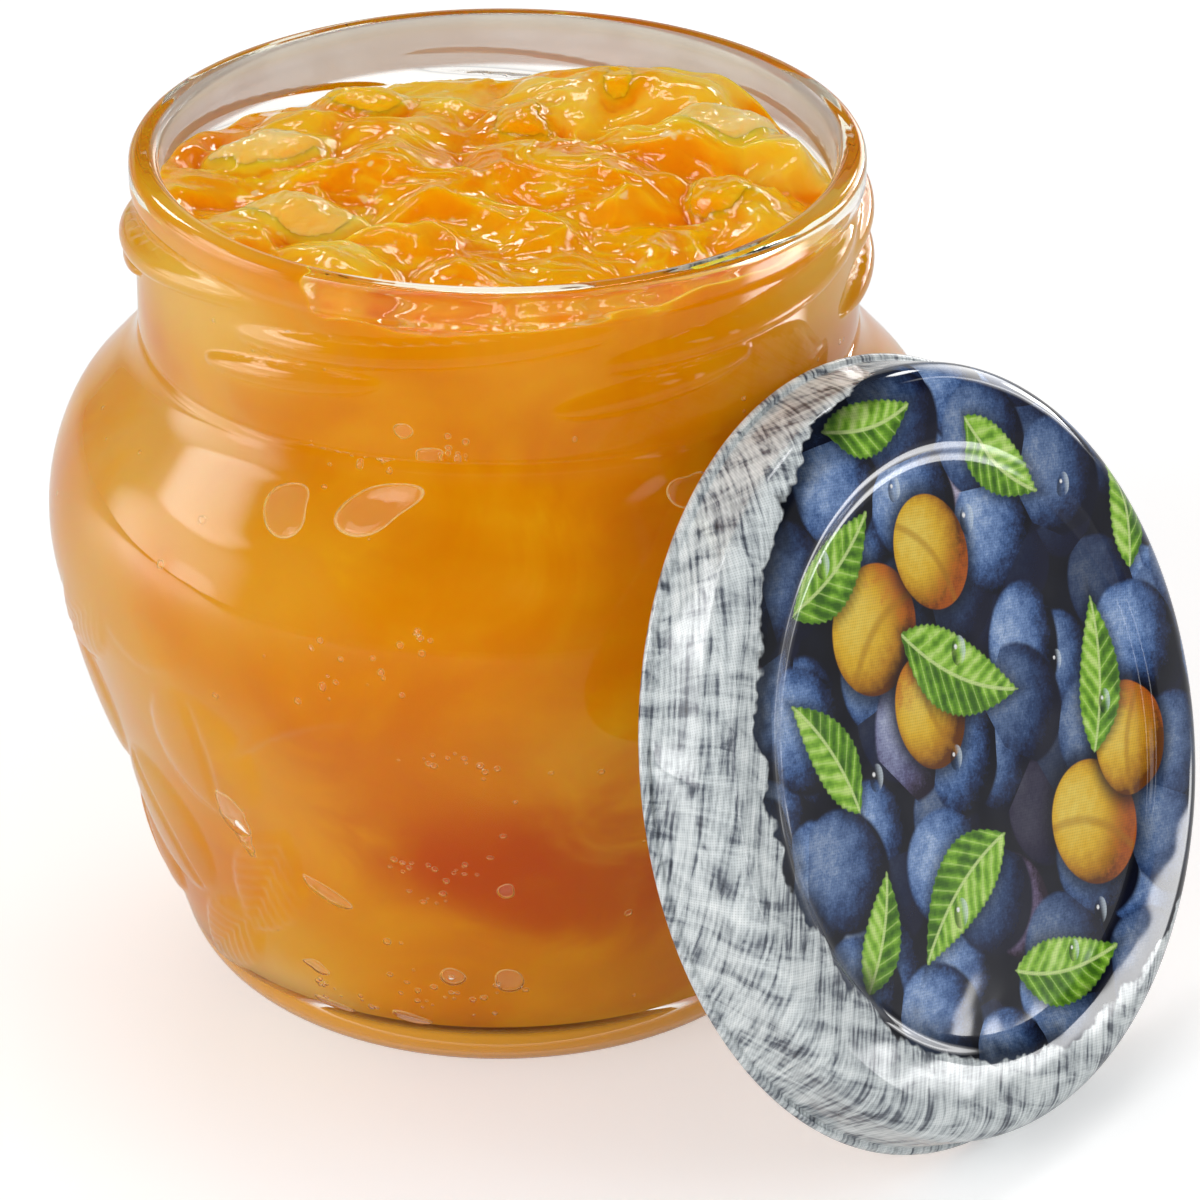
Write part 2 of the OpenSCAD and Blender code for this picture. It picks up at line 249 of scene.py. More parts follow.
def make_floor():
    s = Shader("floor")
    glossy = s.ray("Glossy")
    seen = s.math("MAXIMUM", s.ray("Camera"), s.math("MAXIMUM", s.ray("Transmission"), glossy * 0.2))
    tint = s.mix(s.noise(s.place(), 6), (0.9, 0.9, 0.9), (0.92, 0.92, 0.92))
    x, y, _ = s.split(s.place())
    lift = seen * FLOOR_LIFT
    for at_x, at_y, half_x, half_y, edge, strength in FLOOR_GLOWS:
        off_x, off_y = (x - at_x) / half_x, (y - at_y) / half_y
        reach = s.math("SQRT", off_x * off_x + off_y * off_y)
        lift = s.step(reach, edge, 1, strength, 0) * glossy + lift
    lift = s.value("Emission", {"Color": WHITE, "Strength": lift})
    mesh = bpy.data.meshes.new("floor")
    corners = [(x, y, 0) for x, y in ((-1, -1), (1, -1), (1, 1), (-1, 1))]
    mesh.from_pydata([Vector(c) * FLOOR_HALF for c in corners], [], [(0, 1, 2, 3)])
    floor = bpy.data.objects.new("floor", mesh)
    bpy.context.collection.objects.link(floor)
    floor.location.z = -0.0001
    mesh.materials.append(s.surface(s.value("AddShader", {0: s.diffuse(tint), 1: lift})))


make_world()
make_floor()
area_light("key_left", (-0.6, -0.72, 0.5), (0.6, 0.6), 4.6)
area_light("fill_right", (0.75, -0.45, 0.45), (0.4, 0.6), 1.9)
area_light("top_back", (0.05, 0.45, 0.95), (0.7, 0.5), 2.6)


# Mesh helpers.
def new_object(name, verts, faces, material, uv=None):
    verts = np.asarray(verts, float)
    mesh = bpy.data.meshes.new(name)
    mesh.from_pydata([tuple(v) for v in verts], [], [tuple(int(i) for i in f) for f in faces])
    mesh.shade_smooth()
    obj = bpy.data.objects.new(name, mesh)
    bpy.context.collection.objects.link(obj)
    mesh.materials.append(material)
    if uv is not None:
        layer = mesh.uv_layers.new(name="UVMap")
        index = np.empty(len(mesh.loops), np.int32)
        mesh.loops.foreach_get("vertex_index", index)
        layer.data.foreach_set("uv", np.asarray(uv, np.float32)[index].ravel())
    return obj


def tube_faces(rows, cols, base=0, flip=False):
    """Faces over rows of cols points each, closed at both ends on the two points that follow them."""
    i, j = np.meshgrid(np.arange(rows - 1), np.arange(cols), indexing="ij")
    k = (j + 1) % cols
    a, b = base + i * cols, base + (i + 1) * cols
    quads = np.stack([a + j, a + k, b + k, b + j], -1).reshape(-1, 4)
    j = np.arange(cols)
    k, last, low = (j + 1) % cols, base + (rows - 1) * cols, base + rows * cols
    ends = [(base + k, base + j, low), (last + j, last + k, low + 1)]
    if flip:
        quads, ends = quads[:, ::-1], [(second, first, end) for first, second, end in ends]
    return [tuple(f) for f in quads] + [(p, q, end) for first, second, end in ends
                                        for p, q in zip(first, second)]


def lattice(line, cols):
    """Angles of cols columns, and a line's radii and heights repeated for each of them."""
    az = np.linspace(0, 360, cols, endpoint=False)
    return az, line[:, 0:1] * np.ones(cols), line[:, 1:2] * np.ones(cols)


def on_circle(r, angle, h):
    """Points at that radius, angle in radians and height."""
    return np.stack([r * np.cos(angle), r * np.sin(angle), h], -1)


def set_attribute(obj, name, values):
    layer = obj.data.attributes.new(name, "FLOAT", "POINT")
    layer.data.foreach_set("value", np.asarray(values, np.float32).ravel())


def smooth_max(a, b, k):
    return 0.5 * (a + b + np.sqrt((a - b) ** 2 + k * k))


def smoothstep(x, low, high):
    t = np.clip((x - low) / (high - low), 0, 1)
    return t * t * (3 - 2 * t)


def fractal(points, scale, octaves, rough, offset):
    shift = Vector(offset)
    return np.array([noise.fractal(Vector(p) * scale + shift, rough, 2, octaves) for p in points])


def ridged(points, offset):
    shift = Vector(offset)
    return np.array([noise.ridged_multi_fractal(Vector(p) + shift, 0.9, 2, 2, 1, 2) for p in points])


# The jar's outline, in millimetres.
JAR_H, FOOT_R, HEEL_R, BELLY_R, BELLY_H, BELLY_ROUND = 95, 25.5, 10, 48.6, 54, 23
SHOULDER_ROUND, SHOULDER_ANGLE, BELLY_END = 12, 42, 26
WALL, FLOOR_T, PUSH_UP, FOOT_LAND = 2.7, 6.2, 1.6, 4
NECK_R, HOLLOW_ROUND, BEAD_RISE, BEAD_H, RIM_ROUND = 38.4, 7, 0.5, 3.4, 1
BORE_R = NECK_R - WALL
CRESCENT_TURN, CRESCENT_HALF, CRESCENT_H, CRESCENT_SLOPE = 55, 17, 82.8, 0.075
CRESCENT_ROUND, CRESCENT_RISE = 1.7, 1.5
CREASE_H, CREASE_DEEP, CREASE_WIDE = 75.6, 0.34, 0.4
JAR_COLS, JAM_COLS, JAM_RINGS, LID_COLS = 540, 432, 118, 360
BEAD_R = NECK_R + BEAD_RISE
THREAD_STARTS, THREAD_ROUND, THREAD_RISE, THREAD_LEAD = 6, 1.6, 2, 25
THREAD_R, THREAD_DROP, THREAD_SHIFT, THREAD_TURN = NECK_R + THREAD_RISE, 7.1, 10, 17


def arc(centre, radius, a, b, count):
    t = np.radians(np.linspace(a, b, count))
    return np.stack([centre[0] + radius * np.cos(t), centre[1] + radius * np.sin(t)], -1)


def flank_angle(low, low_r, high, high_r):
    d = np.subtract(high, low)
    return degrees(atan2(d[1], d[0]) - acos((low_r - high_r) / np.hypot(*d)))


belly_c = (BELLY_R - BELLY_ROUND, BELLY_H)
shoulder_c = (belly_c[0] + (BELLY_ROUND - SHOULDER_ROUND) * cos(radians(BELLY_END)),
    belly_c[1] + (BELLY_ROUND - SHOULDER_ROUND) * sin(radians(BELLY_END)))
sa = radians(SHOULDER_ANGLE)
shoulder_end = shoulder_c[0] + SHOULDER_ROUND * cos(sa), shoulder_c[1] + SHOULDER_ROUND * sin(sa)
touch_r = NECK_R + HOLLOW_ROUND - HOLLOW_ROUND * cos(sa)
touch_h = shoulder_end[1] + (shoulder_end[0] - touch_r) / tan(sa)
hollow_c = (NECK_R + HOLLOW_ROUND, touch_h + HOLLOW_ROUND * sin(sa))


def side(inset, low_h, count=24):
    low = (FOOT_R, low_h)
    flank = flank_angle(low, HEEL_R - inset, belly_c, BELLY_ROUND - inset)
    return np.concatenate([arc(low, HEEL_R - inset, -90, flank, count),
        arc(belly_c, BELLY_ROUND - inset, flank, BELLY_END, count * 2),
        arc(shoulder_c, SHOULDER_ROUND - inset, BELLY_END, SHOULDER_ANGLE, 6),
        arc(hollow_c, HOLLOW_ROUND + inset, 180 + SHOULDER_ANGLE, 180, 12)])


def resample(line, spacing):
    """The line with points about spacing apart along it; spacing may depend on the height."""
    line = np.asarray(line, float)
    seg = np.hypot(*np.diff(line, axis=0).T)
    at = np.concatenate([[0], np.cumsum(seg)])
    out, t = [0], 0
    while t < at[-1]:
        h = np.interp(t, at, line[:, 1])
        t += spacing(h) if callable(spacing) else spacing
        out.append(min(t, at[-1]))
    return np.stack([np.interp(out, at, line[:, 0]), np.interp(out, at, line[:, 1])], -1)


OUTER = side(0, HEEL_R)
INNER = side(WALL, FLOOR_T + HEEL_R - WALL)
under_r = FOOT_R - FOOT_LAND
dome_r = (under_r ** 2 + PUSH_UP ** 2) / (2 * PUSH_UP)
dome_h = np.linspace(0.3, under_r, 20)
UNDER = np.stack([dome_h, PUSH_UP - dome_r + np.sqrt(dome_r ** 2 - dome_h ** 2)], -1)
LIP = np.concatenate([[(NECK_R, JAR_H - BEAD_H - 1.6 * BEAD_RISE),
    (NECK_R + 0.15, JAR_H - BEAD_H - BEAD_RISE), (BEAD_R - 0.12, JAR_H - BEAD_H),
    (BEAD_R, JAR_H - BEAD_H + 0.35)], arc((BEAD_R - RIM_ROUND, JAR_H - RIM_ROUND), RIM_ROUND, 0, 90, 7),
    arc((BORE_R + RIM_ROUND, JAR_H - RIM_ROUND), RIM_ROUND, 90, 180, 7)])
outline = np.concatenate([UNDER, OUTER, LIP, INNER[::-1], [(0.3, FLOOR_T)]])
outline = resample(outline, lambda h: 0.26 if CREASE_H - 2 < h < JAR_H - 2 else 0.55)


# Relief of fruit and leaves on the body.
def relief_places():
    """Motifs: direction, height, half width, half height, turn, kind (0 fruit, 1 leaf, 2 stem)."""
    cluster = [(0, 36, 9.5, 9, 10, 0), (-22, 27, 8.5, 8, -20, 0), (20, 25, 8, 8.5, 25, 0),
        (38, 40, 7.5, 8, 0, 0), (-40, 42, 7, 7.5, 15, 0), (5, 17, 7, 6, 0, 0), (-12, 47, 5, 10.5, 62, 1),
        (14, 49, 4.8, 10.5, -58, 1), (-46, 28, 4.6, 9.5, 30, 1), (44, 24, 4.6, 9.5, -28, 1),
        (-28, 52, 4.2, 9, 100, 1), (30, 53, 4.2, 8.5, -96, 1), (-34, 15, 4, 8.5, 50, 1),
        (30, 13, 4, 8.5, -48, 1), (2, 55, 1, 8, 80, 2), (-52, 50, 0.9, 9, 60, 2), (54, 48, 0.9, 9, -60, 2)]
    for middle in (188, -8):
        for a, h, w, l, t, kind in cluster:
            yield (middle + a, h, w, l, t, kind)


def relief(az, h, r):
    """Height of the relief at each point, in millimetres."""
    out = np.zeros_like(az)
    for mid, mid_h, half_w, half_h, turn, kind in relief_places():
        d = (az - mid + 180) % 360 - 180
        u, v = np.radians(d) * r, h - mid_h
        t = radians(turn)
        x, y = u * cos(t) + v * sin(t), -u * sin(t) + v * cos(t)
        if kind == 0:
            q = (x / half_w) ** 2 + (y / half_h) ** 2
            dome = np.clip(1 - q, 0, 1) ** 0.55 * 0.95
            cleft = np.exp(-((x - 0.2 * half_w * (1 - (y / half_h) ** 2)) / 0.55) ** 2) * 0.3
            lift = np.where(q < 1, dome - cleft * (q < 0.85), 0)
        elif kind == 1:
            span = np.clip(1 - (y / half_h) ** 2, 0, 1) * half_w
            q = np.where(span > 0.05, (x / np.maximum(span, 0.05)) ** 2, 2)
            veins = 0.1 * np.cos((y + np.abs(x) * 1.1) * 3.1) - 0.22 * np.exp(-(x / 0.5) ** 2)
            lift = np.where(q < 1, np.clip(1 - q, 0, 1) ** 0.4 * (0.62 + veins), 0)
        else:
            x = x - 1.5 * (y / half_h) ** 2
            q = (x / half_w) ** 2
            lift = np.where(np.abs(y) < half_h, np.clip(1 - q, 0, 1) ** 0.5 * 0.6, 0)
        out = np.maximum(out, lift)
    return out


def thread_radius(az, h):
    """Outer radius of the thread ridges at each point, in millimetres; 0 where there is none."""
    best = np.zeros_like(az)
    ring = THREAD_R - THREAD_ROUND - THREAD_SHIFT
    slope = THREAD_LEAD / (2 * pi * THREAD_R)
    for i in range(THREAD_STARTS):
        d = np.radians((az - THREAD_TURN - 360 / THREAD_STARTS * i + 180) % 360 - 180)
        near = np.abs(d) < radians(42)
        rho = THREAD_SHIFT * np.cos(d) + np.sqrt(ring ** 2 - (THREAD_SHIFT * np.sin(d)) ** 2)
        mid = JAR_H - THREAD_DROP + slope * rho * np.sin(d)
        back = THREAD_ROUND ** 2 - (h - mid) ** 2
        best = np.maximum(best, np.where(near & (back > 0), rho + np.sqrt(np.maximum(back, 0)), 0))
    return best


def crescent_rise(az, h):
    """How far the short low crescents between the thread starts stand out; 0 where there is none."""
    best = np.zeros_like(az)
    for i in range(THREAD_STARTS):
        d = (az - CRESCENT_TURN - 360 / THREAD_STARTS * i + 180) % 360 - 180
        taper = np.clip(1 - (d / CRESCENT_HALF) ** 2, 0, 1)
        round_h = CRESCENT_ROUND * np.sqrt(taper) + 1e-6
        back = 1 - ((h - CRESCENT_H - CRESCENT_SLOPE * d) / round_h) ** 2
        best = np.maximum(best, CRESCENT_RISE * np.sqrt(taper * np.maximum(back, 0)))
    return best


GLASS_IOR, GLASS_SHINE = 1.5, (0.3, 0.3, 0.3)


def make_glass_material():
    """Clear glass; painted amber in rim and foot for the jam's refracted colour; painted shade on the back.
    """
    s = Shader("jar_glass")
    where = s.place()
    x, y, z = s.split(where)
    reach = s.vec("LENGTH", s.vec("MULTIPLY", where, (1, 1, 0)))
    normal = s.bump(s.noise(where, 55, 1, 0.3), 0.0006, 0.3)
    # Painted amber at the rim stands in for the jam's colour that the glass refracts there.
    tint = s.mix(s.step(z, 0.0928, 0.094), (1, 0.985, 0.95), (0.92, 0.85, 0.6))
    glass = s.principled(base_color=tint, roughness=0, ior=GLASS_IOR, transmission_weight=1,
        specular_tint=GLASS_SHINE, normal=normal)
    # Painted light: an opaque amber over the foot stands in for the jam's colour refracted through the
    # thick base.
    amber = s.principled(base_color=(0.95, 0.44, 0.03), roughness=0.05, specular_tint=GLASS_SHINE,
        normal=normal)
    foot = s.step(z, 0.0064, 0.008, 0.8, 0) * s.step(reach, 0.02, 0.022)
    glass = s.blend(foot, glass, amber)
    # Painted shade: film is a grey-beige sheet on the inner back wall above the jam, standing in for the
    # shade seen there; wet is the glass with this painted sheet.
    film = s.step(reach, 0.0364, 0.0368, 1, 0) * s.step(y, -0.008, 0.008) * s.step(z, 0.089, 0.0897)
    film = film * s.step(s.noise(where, 90, 3, 0.6), 0.2, 0.7, 0.66, 0.8)
    wet = s.blend(film, glass, s.diffuse((0.5, 0.45, 0.41, 1)))
    return s.glass_surface(wet, (0.97, 0.95, 0.92))


def make_jar():
    az, r, h = lattice(outline, JAR_COLS)
    A = np.ones((len(outline), 1)) * az
    top = int(np.argmax(outline[:, 1]))
    outside = (np.arange(len(outline)) <= top)[:, None] & (r > under_r)
    body = relief(A, h, np.maximum(r, 1)) * smoothstep(h, 4, 12) * (1 - smoothstep(h, 44, 54)) * outside
    slope = np.gradient(outline, axis=0)
    slope /= np.linalg.norm(slope, axis=1)[:, None]
    nr, nh = slope[:, 1:2], -slope[:, 0:1]
    r, h = r + body * nr, h + body * nh
    crease = CREASE_DEEP * np.exp(-((h - CREASE_H - 0.35 * np.sin(np.radians(3 * A))) / CREASE_WIDE) ** 2)
    neck = outside & (h > CREASE_H - 3) & (h < JAR_H - 5)
    r = r + (crescent_rise(A, h) - crease) * neck
    thread = thread_radius(A, h) * (outside & (h > touch_h) & (h < JAR_H - 0.8))
    r = np.where(thread > 0, smooth_max(r, thread, 0.14), r)
    pts = on_circle(r, np.radians(A), h).reshape(-1, 3)
    verts = np.concatenate([pts, [(0, 0, PUSH_UP), (0, 0, FLOOR_T)]]) * MM
    jar = new_object("jar_glass_body", verts, tube_faces(len(outline), JAR_COLS), make_glass_material())
    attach(jar, "jar")
    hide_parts("glass_jar")


make_jar()


# Jam.
EDGE_HEIGHTS = [
    (0, 89), (25, 88.4), (48, 91.8), (66, 90.2), (90, 87.6), (120, 87), (142, 88.6), (165, 90.6),
    (190, 92), (214, 93.4), (236, 93.2), (241, 89.9), (247, 90.4), (254, 89.3), (266, 89.4), (276, 89.8),
    (290, 91.2), (305, 92), (335, 91.4), (348, 90.4)]


def contact_height(az):
    """Height of the jam's wavy edge on the glass."""
    at = np.array([a for a, _ in EDGE_HEIGHTS] + [360 + EDGE_HEIGHTS[0][0]], float)
    level = np.array([h for _, h in EDGE_HEIGHTS] + [EDGE_HEIGHTS[0][1]])
    i = np.clip(np.searchsorted(at, az, side="right") - 1, 0, len(at) - 2)
    t = smoothstep((az - at[i]) / (at[i + 1] - at[i]), 0, 1)
    a = np.radians(az)
    return level[i] * (1 - t) + level[i + 1] * t + 0.16 * np.sin(a * 19 + 0.3) + 0.12 * np.sin(a * 31 + 1)


JAM_DROP, JAM_CROWN, LUMP_ROUND = 6.5, 1.4, 12
# The lumps of the solid jam: distance as a share of the bore's radius, direction, depth of the top
# as a share of the edge's depth, size as a share of the large ball, and how pale the jam is there.
LUMPS = [
    (0.15, 22, 0.25, 1, 0.2), (0.35, -14, 0.3, 0.9, 0.3), (0.56, 180, 0.38, 0.8, 0.2),
    (0.34, 170, 0.32, 0.8, 0.3), (0.18, 219, 0.33, 0.9, 0.2), (0.34, 280, 0.43, 0.9, 0.1),
    (0.46, 135, 0.48, 0.9, 0.5), (0.7, 144, 0.48, 0.8, 0.8), (0.62, 102, 0.7, 0.8, 0.9),
    (0.66, 70, 0.4, 0.9, 0.6), (0.83, 48, 0.24, 0.7, 0.9), (0.6, 22, 0.36, 0.9, 0.4),
    (0.86, -19, 0.46, 0.8, 0.5), (0.88, 11, 0.34, 0.6, 1), (0.53, 238, 0.46, 0.9, 0.3),
    (0.68, 263, 0.54, 1, 0.1), (0.71, 288, 0.58, 1, 0), (0.7, 315, 0.62, 1.1, 0),
    (0.8, 231, 0.37, 0.9, 0.6), (0.9, 206, 0.34, 0.8, 0.5), (0.87, 184, 0.52, 0.8, 0)]
# Fruit pieces, as in the solids: distance, direction, depth of the centre as a share of the radius,
# size as a share of the large piece, direction of the long side, tilt, kind.
FRUIT_ROUND, FRUIT_CUT = 10.5, 0.42
FRUIT = {
    "left": (0.72, 161, 0.74, 0.94, -71, 72, "pale"),
    "back_left": (0.74, 125, 0.84, 0.84, -20, 76, "deep"),
    "front_left": (0.68, 205, 0.7, 1, -115, 72, "pale"),
    "middle": (0.42, 82, 0.84, 0.8, 95, 72, "deep"),
    "back_middle": (0.76, 60, 0.7, 0.8, -10, 74, "deep"),
    "back_right": (0.73, 26, 0.68, 0.96, -113, 74, "pale"),
    "right": (0.7, -11, 0.78, 0.88, 10, 74, "deep")}
# How far the jam rises round each piece: below the piece's crest, and how broad.
SKIRT_DROP, SKIRT_ROUND = 4, 1.5
SHARP = 1.7
EDGE_SHARP, FACET_SHARP = 13, 32     # the edges of a fruit piece and of its facets


def away_x(away, az):
    return BORE_R * away * cos(radians(az))


def away_y(away, az):
    return BORE_R * away * sin(radians(az))


def round_top(x, y, away, az, top, size):
    """Height of a round-backed lump, falling off for ever."""
    dx, dy = x - away_x(away, az), y - away_y(away, az)
    return top - (dx * dx + dy * dy) / (2 * size)


def sphere_directions(level):
    bm = bmesh.new()
    bmesh.ops.create_icosphere(bm, subdivisions=level, radius=1)
    bm.verts.ensure_lookup_table()
    verts = np.array([v.co[:] for v in bm.verts])
    faces = [[v.index for v in f.verts] for f in bm.faces]
    bm.free()
    return verts, faces


DIRECTIONS, SPHERE_FACES = sphere_directions(5)


def wedge_points(size, seed, turned):
    """A wedge of fruit, the common part of three balls, cut to flat facets on top, in millimetres."""
    offset = size * FRUIT_CUT
    reach = []
    for turn in (0, 120, 240):
        c = np.array([cos(radians(turn)), sin(radians(turn)), 0]) * offset
        b = DIRECTIONS @ c
        reach.append(b + np.sqrt(b * b - offset ** 2 + size ** 2))
    reach = np.array(reach)
    soft = -np.log(np.exp(-EDGE_SHARP * reach / size).sum(0)) * size / EDGE_SHARP
    rng = np.random.default_rng(60 + seed)
    cuts = [(270 + rng.uniform(-25, 25), rng.uniform(30, 44), 0.86),
        (rng.uniform(120, 200), rng.uniform(20, 36), 0.9), (rng.uniform(0, 60), rng.uniform(20, 36), 0.9),
        (rng.uniform(0, 360), rng.uniform(2, 8), 0.92)]
    cuts += [(rng.uniform(0, 360), rng.uniform(10, 90), rng.uniform(0.84, 0.94)) for _ in range(9)]
    planes = [np.exp(-FACET_SHARP * soft / size)]
    for az, tip, keep in cuts:
        n = turned.T @ np.array(direction(az, 90 - tip))
        facing = DIRECTIONS @ n
        support = (soft * facing).max() * keep
        cut = np.where(facing > 0.05, support / np.maximum(facing, 0.05), 9 * size)
        planes.append(np.exp(-FACET_SHARP * cut / size))
    soft = -np.log(np.sum(planes, 0)) * size / FACET_SHARP
    lumps = fractal(DIRECTIONS, 1.6, 4, 0.7, (seed * 3.1, 1, 2)) * 0.05 + fractal(DIRECTIONS, 4.5, 3, 0.8,
        (5, seed, 2)) * 0.02
    return DIRECTIONS * (soft * (1 + lumps))[:, None]


def turn_z(a):
    return Matrix.Rotation(radians(a), 4, "Z")


def fruit_points():
    """The points of each fruit piece where it lies, in millimetres."""
    placed = {}
    for seed, (name, (away, az, sink, share, roll, tilt, kind)) in enumerate(FRUIT.items()):
        size = FRUIT_ROUND * share
        at = Matrix.Translation((BORE_R * away, 0, JAR_H - size * sink))
        place = turn_z(az) @ at @ turn_z(roll) @ Matrix.Rotation(radians(tilt), 4, "X")
        m = np.array(place)
        placed[name] = wedge_points(size, seed, m[:3, :3]) @ m[:3, :3].T + m[:3, 3]
    return placed


FRUIT_POINTS = fruit_points()


def fruit_tops(x, y):
    """Height of the fruit's skin over each point, and how pale it is; very low where there is none."""
    top, light = np.full(x.shape, -99.0), np.zeros(x.shape)
    for name, pts in FRUIT_POINTS.items():
        tree = BVHTree.FromPolygons([Vector(p) for p in pts], SPHERE_FACES)
        low, high = pts.min(0), pts.max(0)
        near = (x > low[0]) & (x < high[0]) & (y > low[1]) & (y < high[1])
        for i in zip(*np.nonzero(near)):
            hit = tree.ray_cast(Vector((x[i], y[i], 200)), Vector((0, 0, -1)))[0]
            if hit is not None and hit.z > top[i]:
                top[i], light[i] = hit.z, 1 if FRUIT[name][-1] == "pale" else 0.3
    return top, light


def jam_surface(x, y):
    """Height of the jam's top and how pale it is there: the solids' lumps with soft valleys between."""
    mound = JAM_H + JAM_CROWN * (1 - (x * x + y * y) / BORE_R ** 2)
    total, pale = np.exp(SHARP * (mound - JAM_H)), np.zeros_like(x)
    heights = [(round_top(x, y, away, az, JAR_H - JAM_DROP * drop, LUMP_ROUND * size), light)
               for away, az, drop, size, light in LUMPS]
    for away, az, sink, share, roll, tilt, kind in FRUIT.values():
        size = FRUIT_ROUND * share
        b = radians(az + roll - 90)
        dx, dy = x - away_x(away, az), y - away_y(away, az)
        along, across = dx * cos(b) + dy * sin(b), dy * cos(b) - dx * sin(b)
        crest = JAR_H - size * (sink - 0.6) - SKIRT_DROP
        fall = (across ** 2 + 0.3 * (along - 0.3 * size) ** 2) / (2 * size * SKIRT_ROUND)
        heights.append((crest - fall, 0.75 if kind == "pale" else 0.3))
    for height, light in heights:
        weight = np.exp(SHARP * (np.maximum(height, JAM_H - 4) - JAM_H))
        total += weight
        pale += weight * light
    return JAM_H + np.log(total) / SHARP, pale / total


def wrinkled(x, y):
    """The jam's top with its broken crests and thin wet folds, and how pale it is."""
    flat = np.stack([x, y, np.zeros_like(x)], -1).reshape(-1, 3)
    warp = np.stack([fractal(flat, 0.11, 2, 0.8, (1, 5, 2)), fractal(flat, 0.11, 2, 0.8, (8, 3, 4))], -1)
    wx, wy = (flat[:, i].reshape(x.shape) + 2.6 * warp[:, i].reshape(x.shape) for i in (0, 1))
    h, pale = jam_surface(wx, wy)
    bend = flat[:, :2] + warp * 5
    across, along = (bend[:, 0] * 0.5 + bend[:, 1] * 0.87), (bend[:, 0] * 0.87 - bend[:, 1] * 0.5)
    crests, folds, creases = (
        ridged(np.stack([along * a, across * b, 0 * along], -1), offset).reshape(x.shape)
        for a, b, offset in ((0.075, 0.11, (3, 7, 1)), (0.085, 0.34, (5, 1, 8)), (0.22, 0.8, (1, 2, 6))))
    where = smoothstep(fractal(flat, 0.1, 2, 0.8, (4, 4, 9)).reshape(x.shape), -0.25, 0.45)
    calm = 1 - 0.6 * smoothstep(pale, 0.4, 0.9)
    h = h + 0.95 * calm * (crests - crests.mean()) + (0.06 + 0.26 * where * calm) * (folds - folds.mean())
    h = h + (0.02 + 0.12 * where * calm) * (creases - creases.mean())
    return h, pale


JAM_H = JAR_H - JAM_DROP
CONTACT = 0.07     # how far the jam's skin lies inside the glass, so that no air shows between them
SKIN_H = 84      # where the jam's side leaves the glass's inner line for the wavy edge


def on_wall(az, h):
    """A point on the inside of the glass at that direction and height, in metres."""
    r, a = np.interp(h, OUTER[:, 1], OUTER[:, 0]) - WALL, radians(az)
    return (r * cos(a) * MM, r * sin(a) * MM, h * MM)


# Places where the jam looks paler or deeper through the glass: direction, height, half sizes,
# colour, amount. The pale ones at the left and right are painted light, the deep ones in the
# front middle painted shade; the rest give the jam's own uneven colour.
JAM_TONE_LIGHT_AND_SHADE_PATCHES = [
    (212, 68, 16, 16, 10, (0.82, 0.5, 0.13), 0.7), (206, 50, 14, 14, 18, (0.78, 0.46, 0.1), 0.65),
    (200, 30, 12, 14, 16, (0.74, 0.44, 0.1), 0.65), (225, 40, 14, 14, 16, (0.78, 0.41, 0.04), 0.5),
    (270, 32, 17, 14, 10, (0.56, 0.07, 0), 0.9), (286, 26, 16, 14, 10, (0.56, 0.08, 0), 0.75),
    (262, 45, 18, 12, 10, (0.7, 0.19, 0.002), 0.6), (268, 62, 20, 12, 10, (0.72, 0.22, 0.002), 0.55),
    (228, 13, 12, 12, 8, (0.78, 0.42, 0.02), 0.7), (280, 13, 14, 10, 6, (0.7, 0.28, 0.004), 0.5),
    (218, 7, 12, 12, 6, (0.84, 0.58, 0.2), 0.6), (235, 62, 14, 14, 10, (0.82, 0.42, 0.03), 0.6),
    (248, 20, 12, 10, 8, (0.74, 0.3, 0.004), 0.4), (0, 64, 14, 18, 12, (0.9, 0.5, 0.18), 0.7),
    (215, 86, 18, 18, 8, (0.82, 0.5, 0.08), 0.8), (345, 86, 14, 20, 8, (0.9, 0.52, 0.1), 0.75),
    (100, 40, 20, 14, 14, (0.66, 0.17, 0.002), 0.6), (60, 20, 14, 14, 10, (0.84, 0.44, 0.05), 0.6)]


def make_jam_side_material():
    s = Shader("jam_through_glass")
    where = s.place()
    big = s.noise(where, 24, 3, 0.55, 0.9)
    mid = s.noise(where, 62, 4, 0.6, 1.2)
    fine = s.noise(where, 190, 3, 0.6, 0.6)
    cells = s.value("TexVoronoi", {"Vector": where, "Scale": 52, "Smoothness": 0.7, "Randomness": 1},
        "Distance", feature="SMOOTH_F1")
    colour = s.ramp(big * 0.6 + mid * 0.4, [(0.3, (0.62, 0.15, 0)), (0.42, (0.71, 0.22, 0)),
        (0.52, (0.77, 0.29, 0)), (0.62, (0.81, 0.37, 0.004)), (0.76, (0.85, 0.48, 0.03))])
    colour = s.mix(s.step(cells, 0.15, 0.55, 0.22, 0), colour, (0.9, 0.46, 0.03))
    colour = s.mix(s.step(fine, 0.3, 0.7, 0, 0.14), colour, (0.74, 0.22, 0.002))
    # Mix in each patch: painted light and shade where lit and shaded, the jam's own tone elsewhere.
    for az, h, *half, tint, amount in JAM_TONE_LIGHT_AND_SHADE_PATCHES:
        size = [v * MM for v in half]
        d = s.vec("DISTANCE", s.vec("DIVIDE", where, size), [a / b for a, b in zip(on_wall(az, h), size)])
        edge = (mid - 0.5) * 1.2 + d
        colour = s.mix(s.step(edge, 0.2, 1.25, amount, 0), colour, tint)
    return s.surface(s.principled(base_color=colour, roughness=0.6, subsurface_weight=0.7,
        subsurface_radius=(1, 0.4, 0.08), subsurface_scale=0.004, specular_ior_level=0))


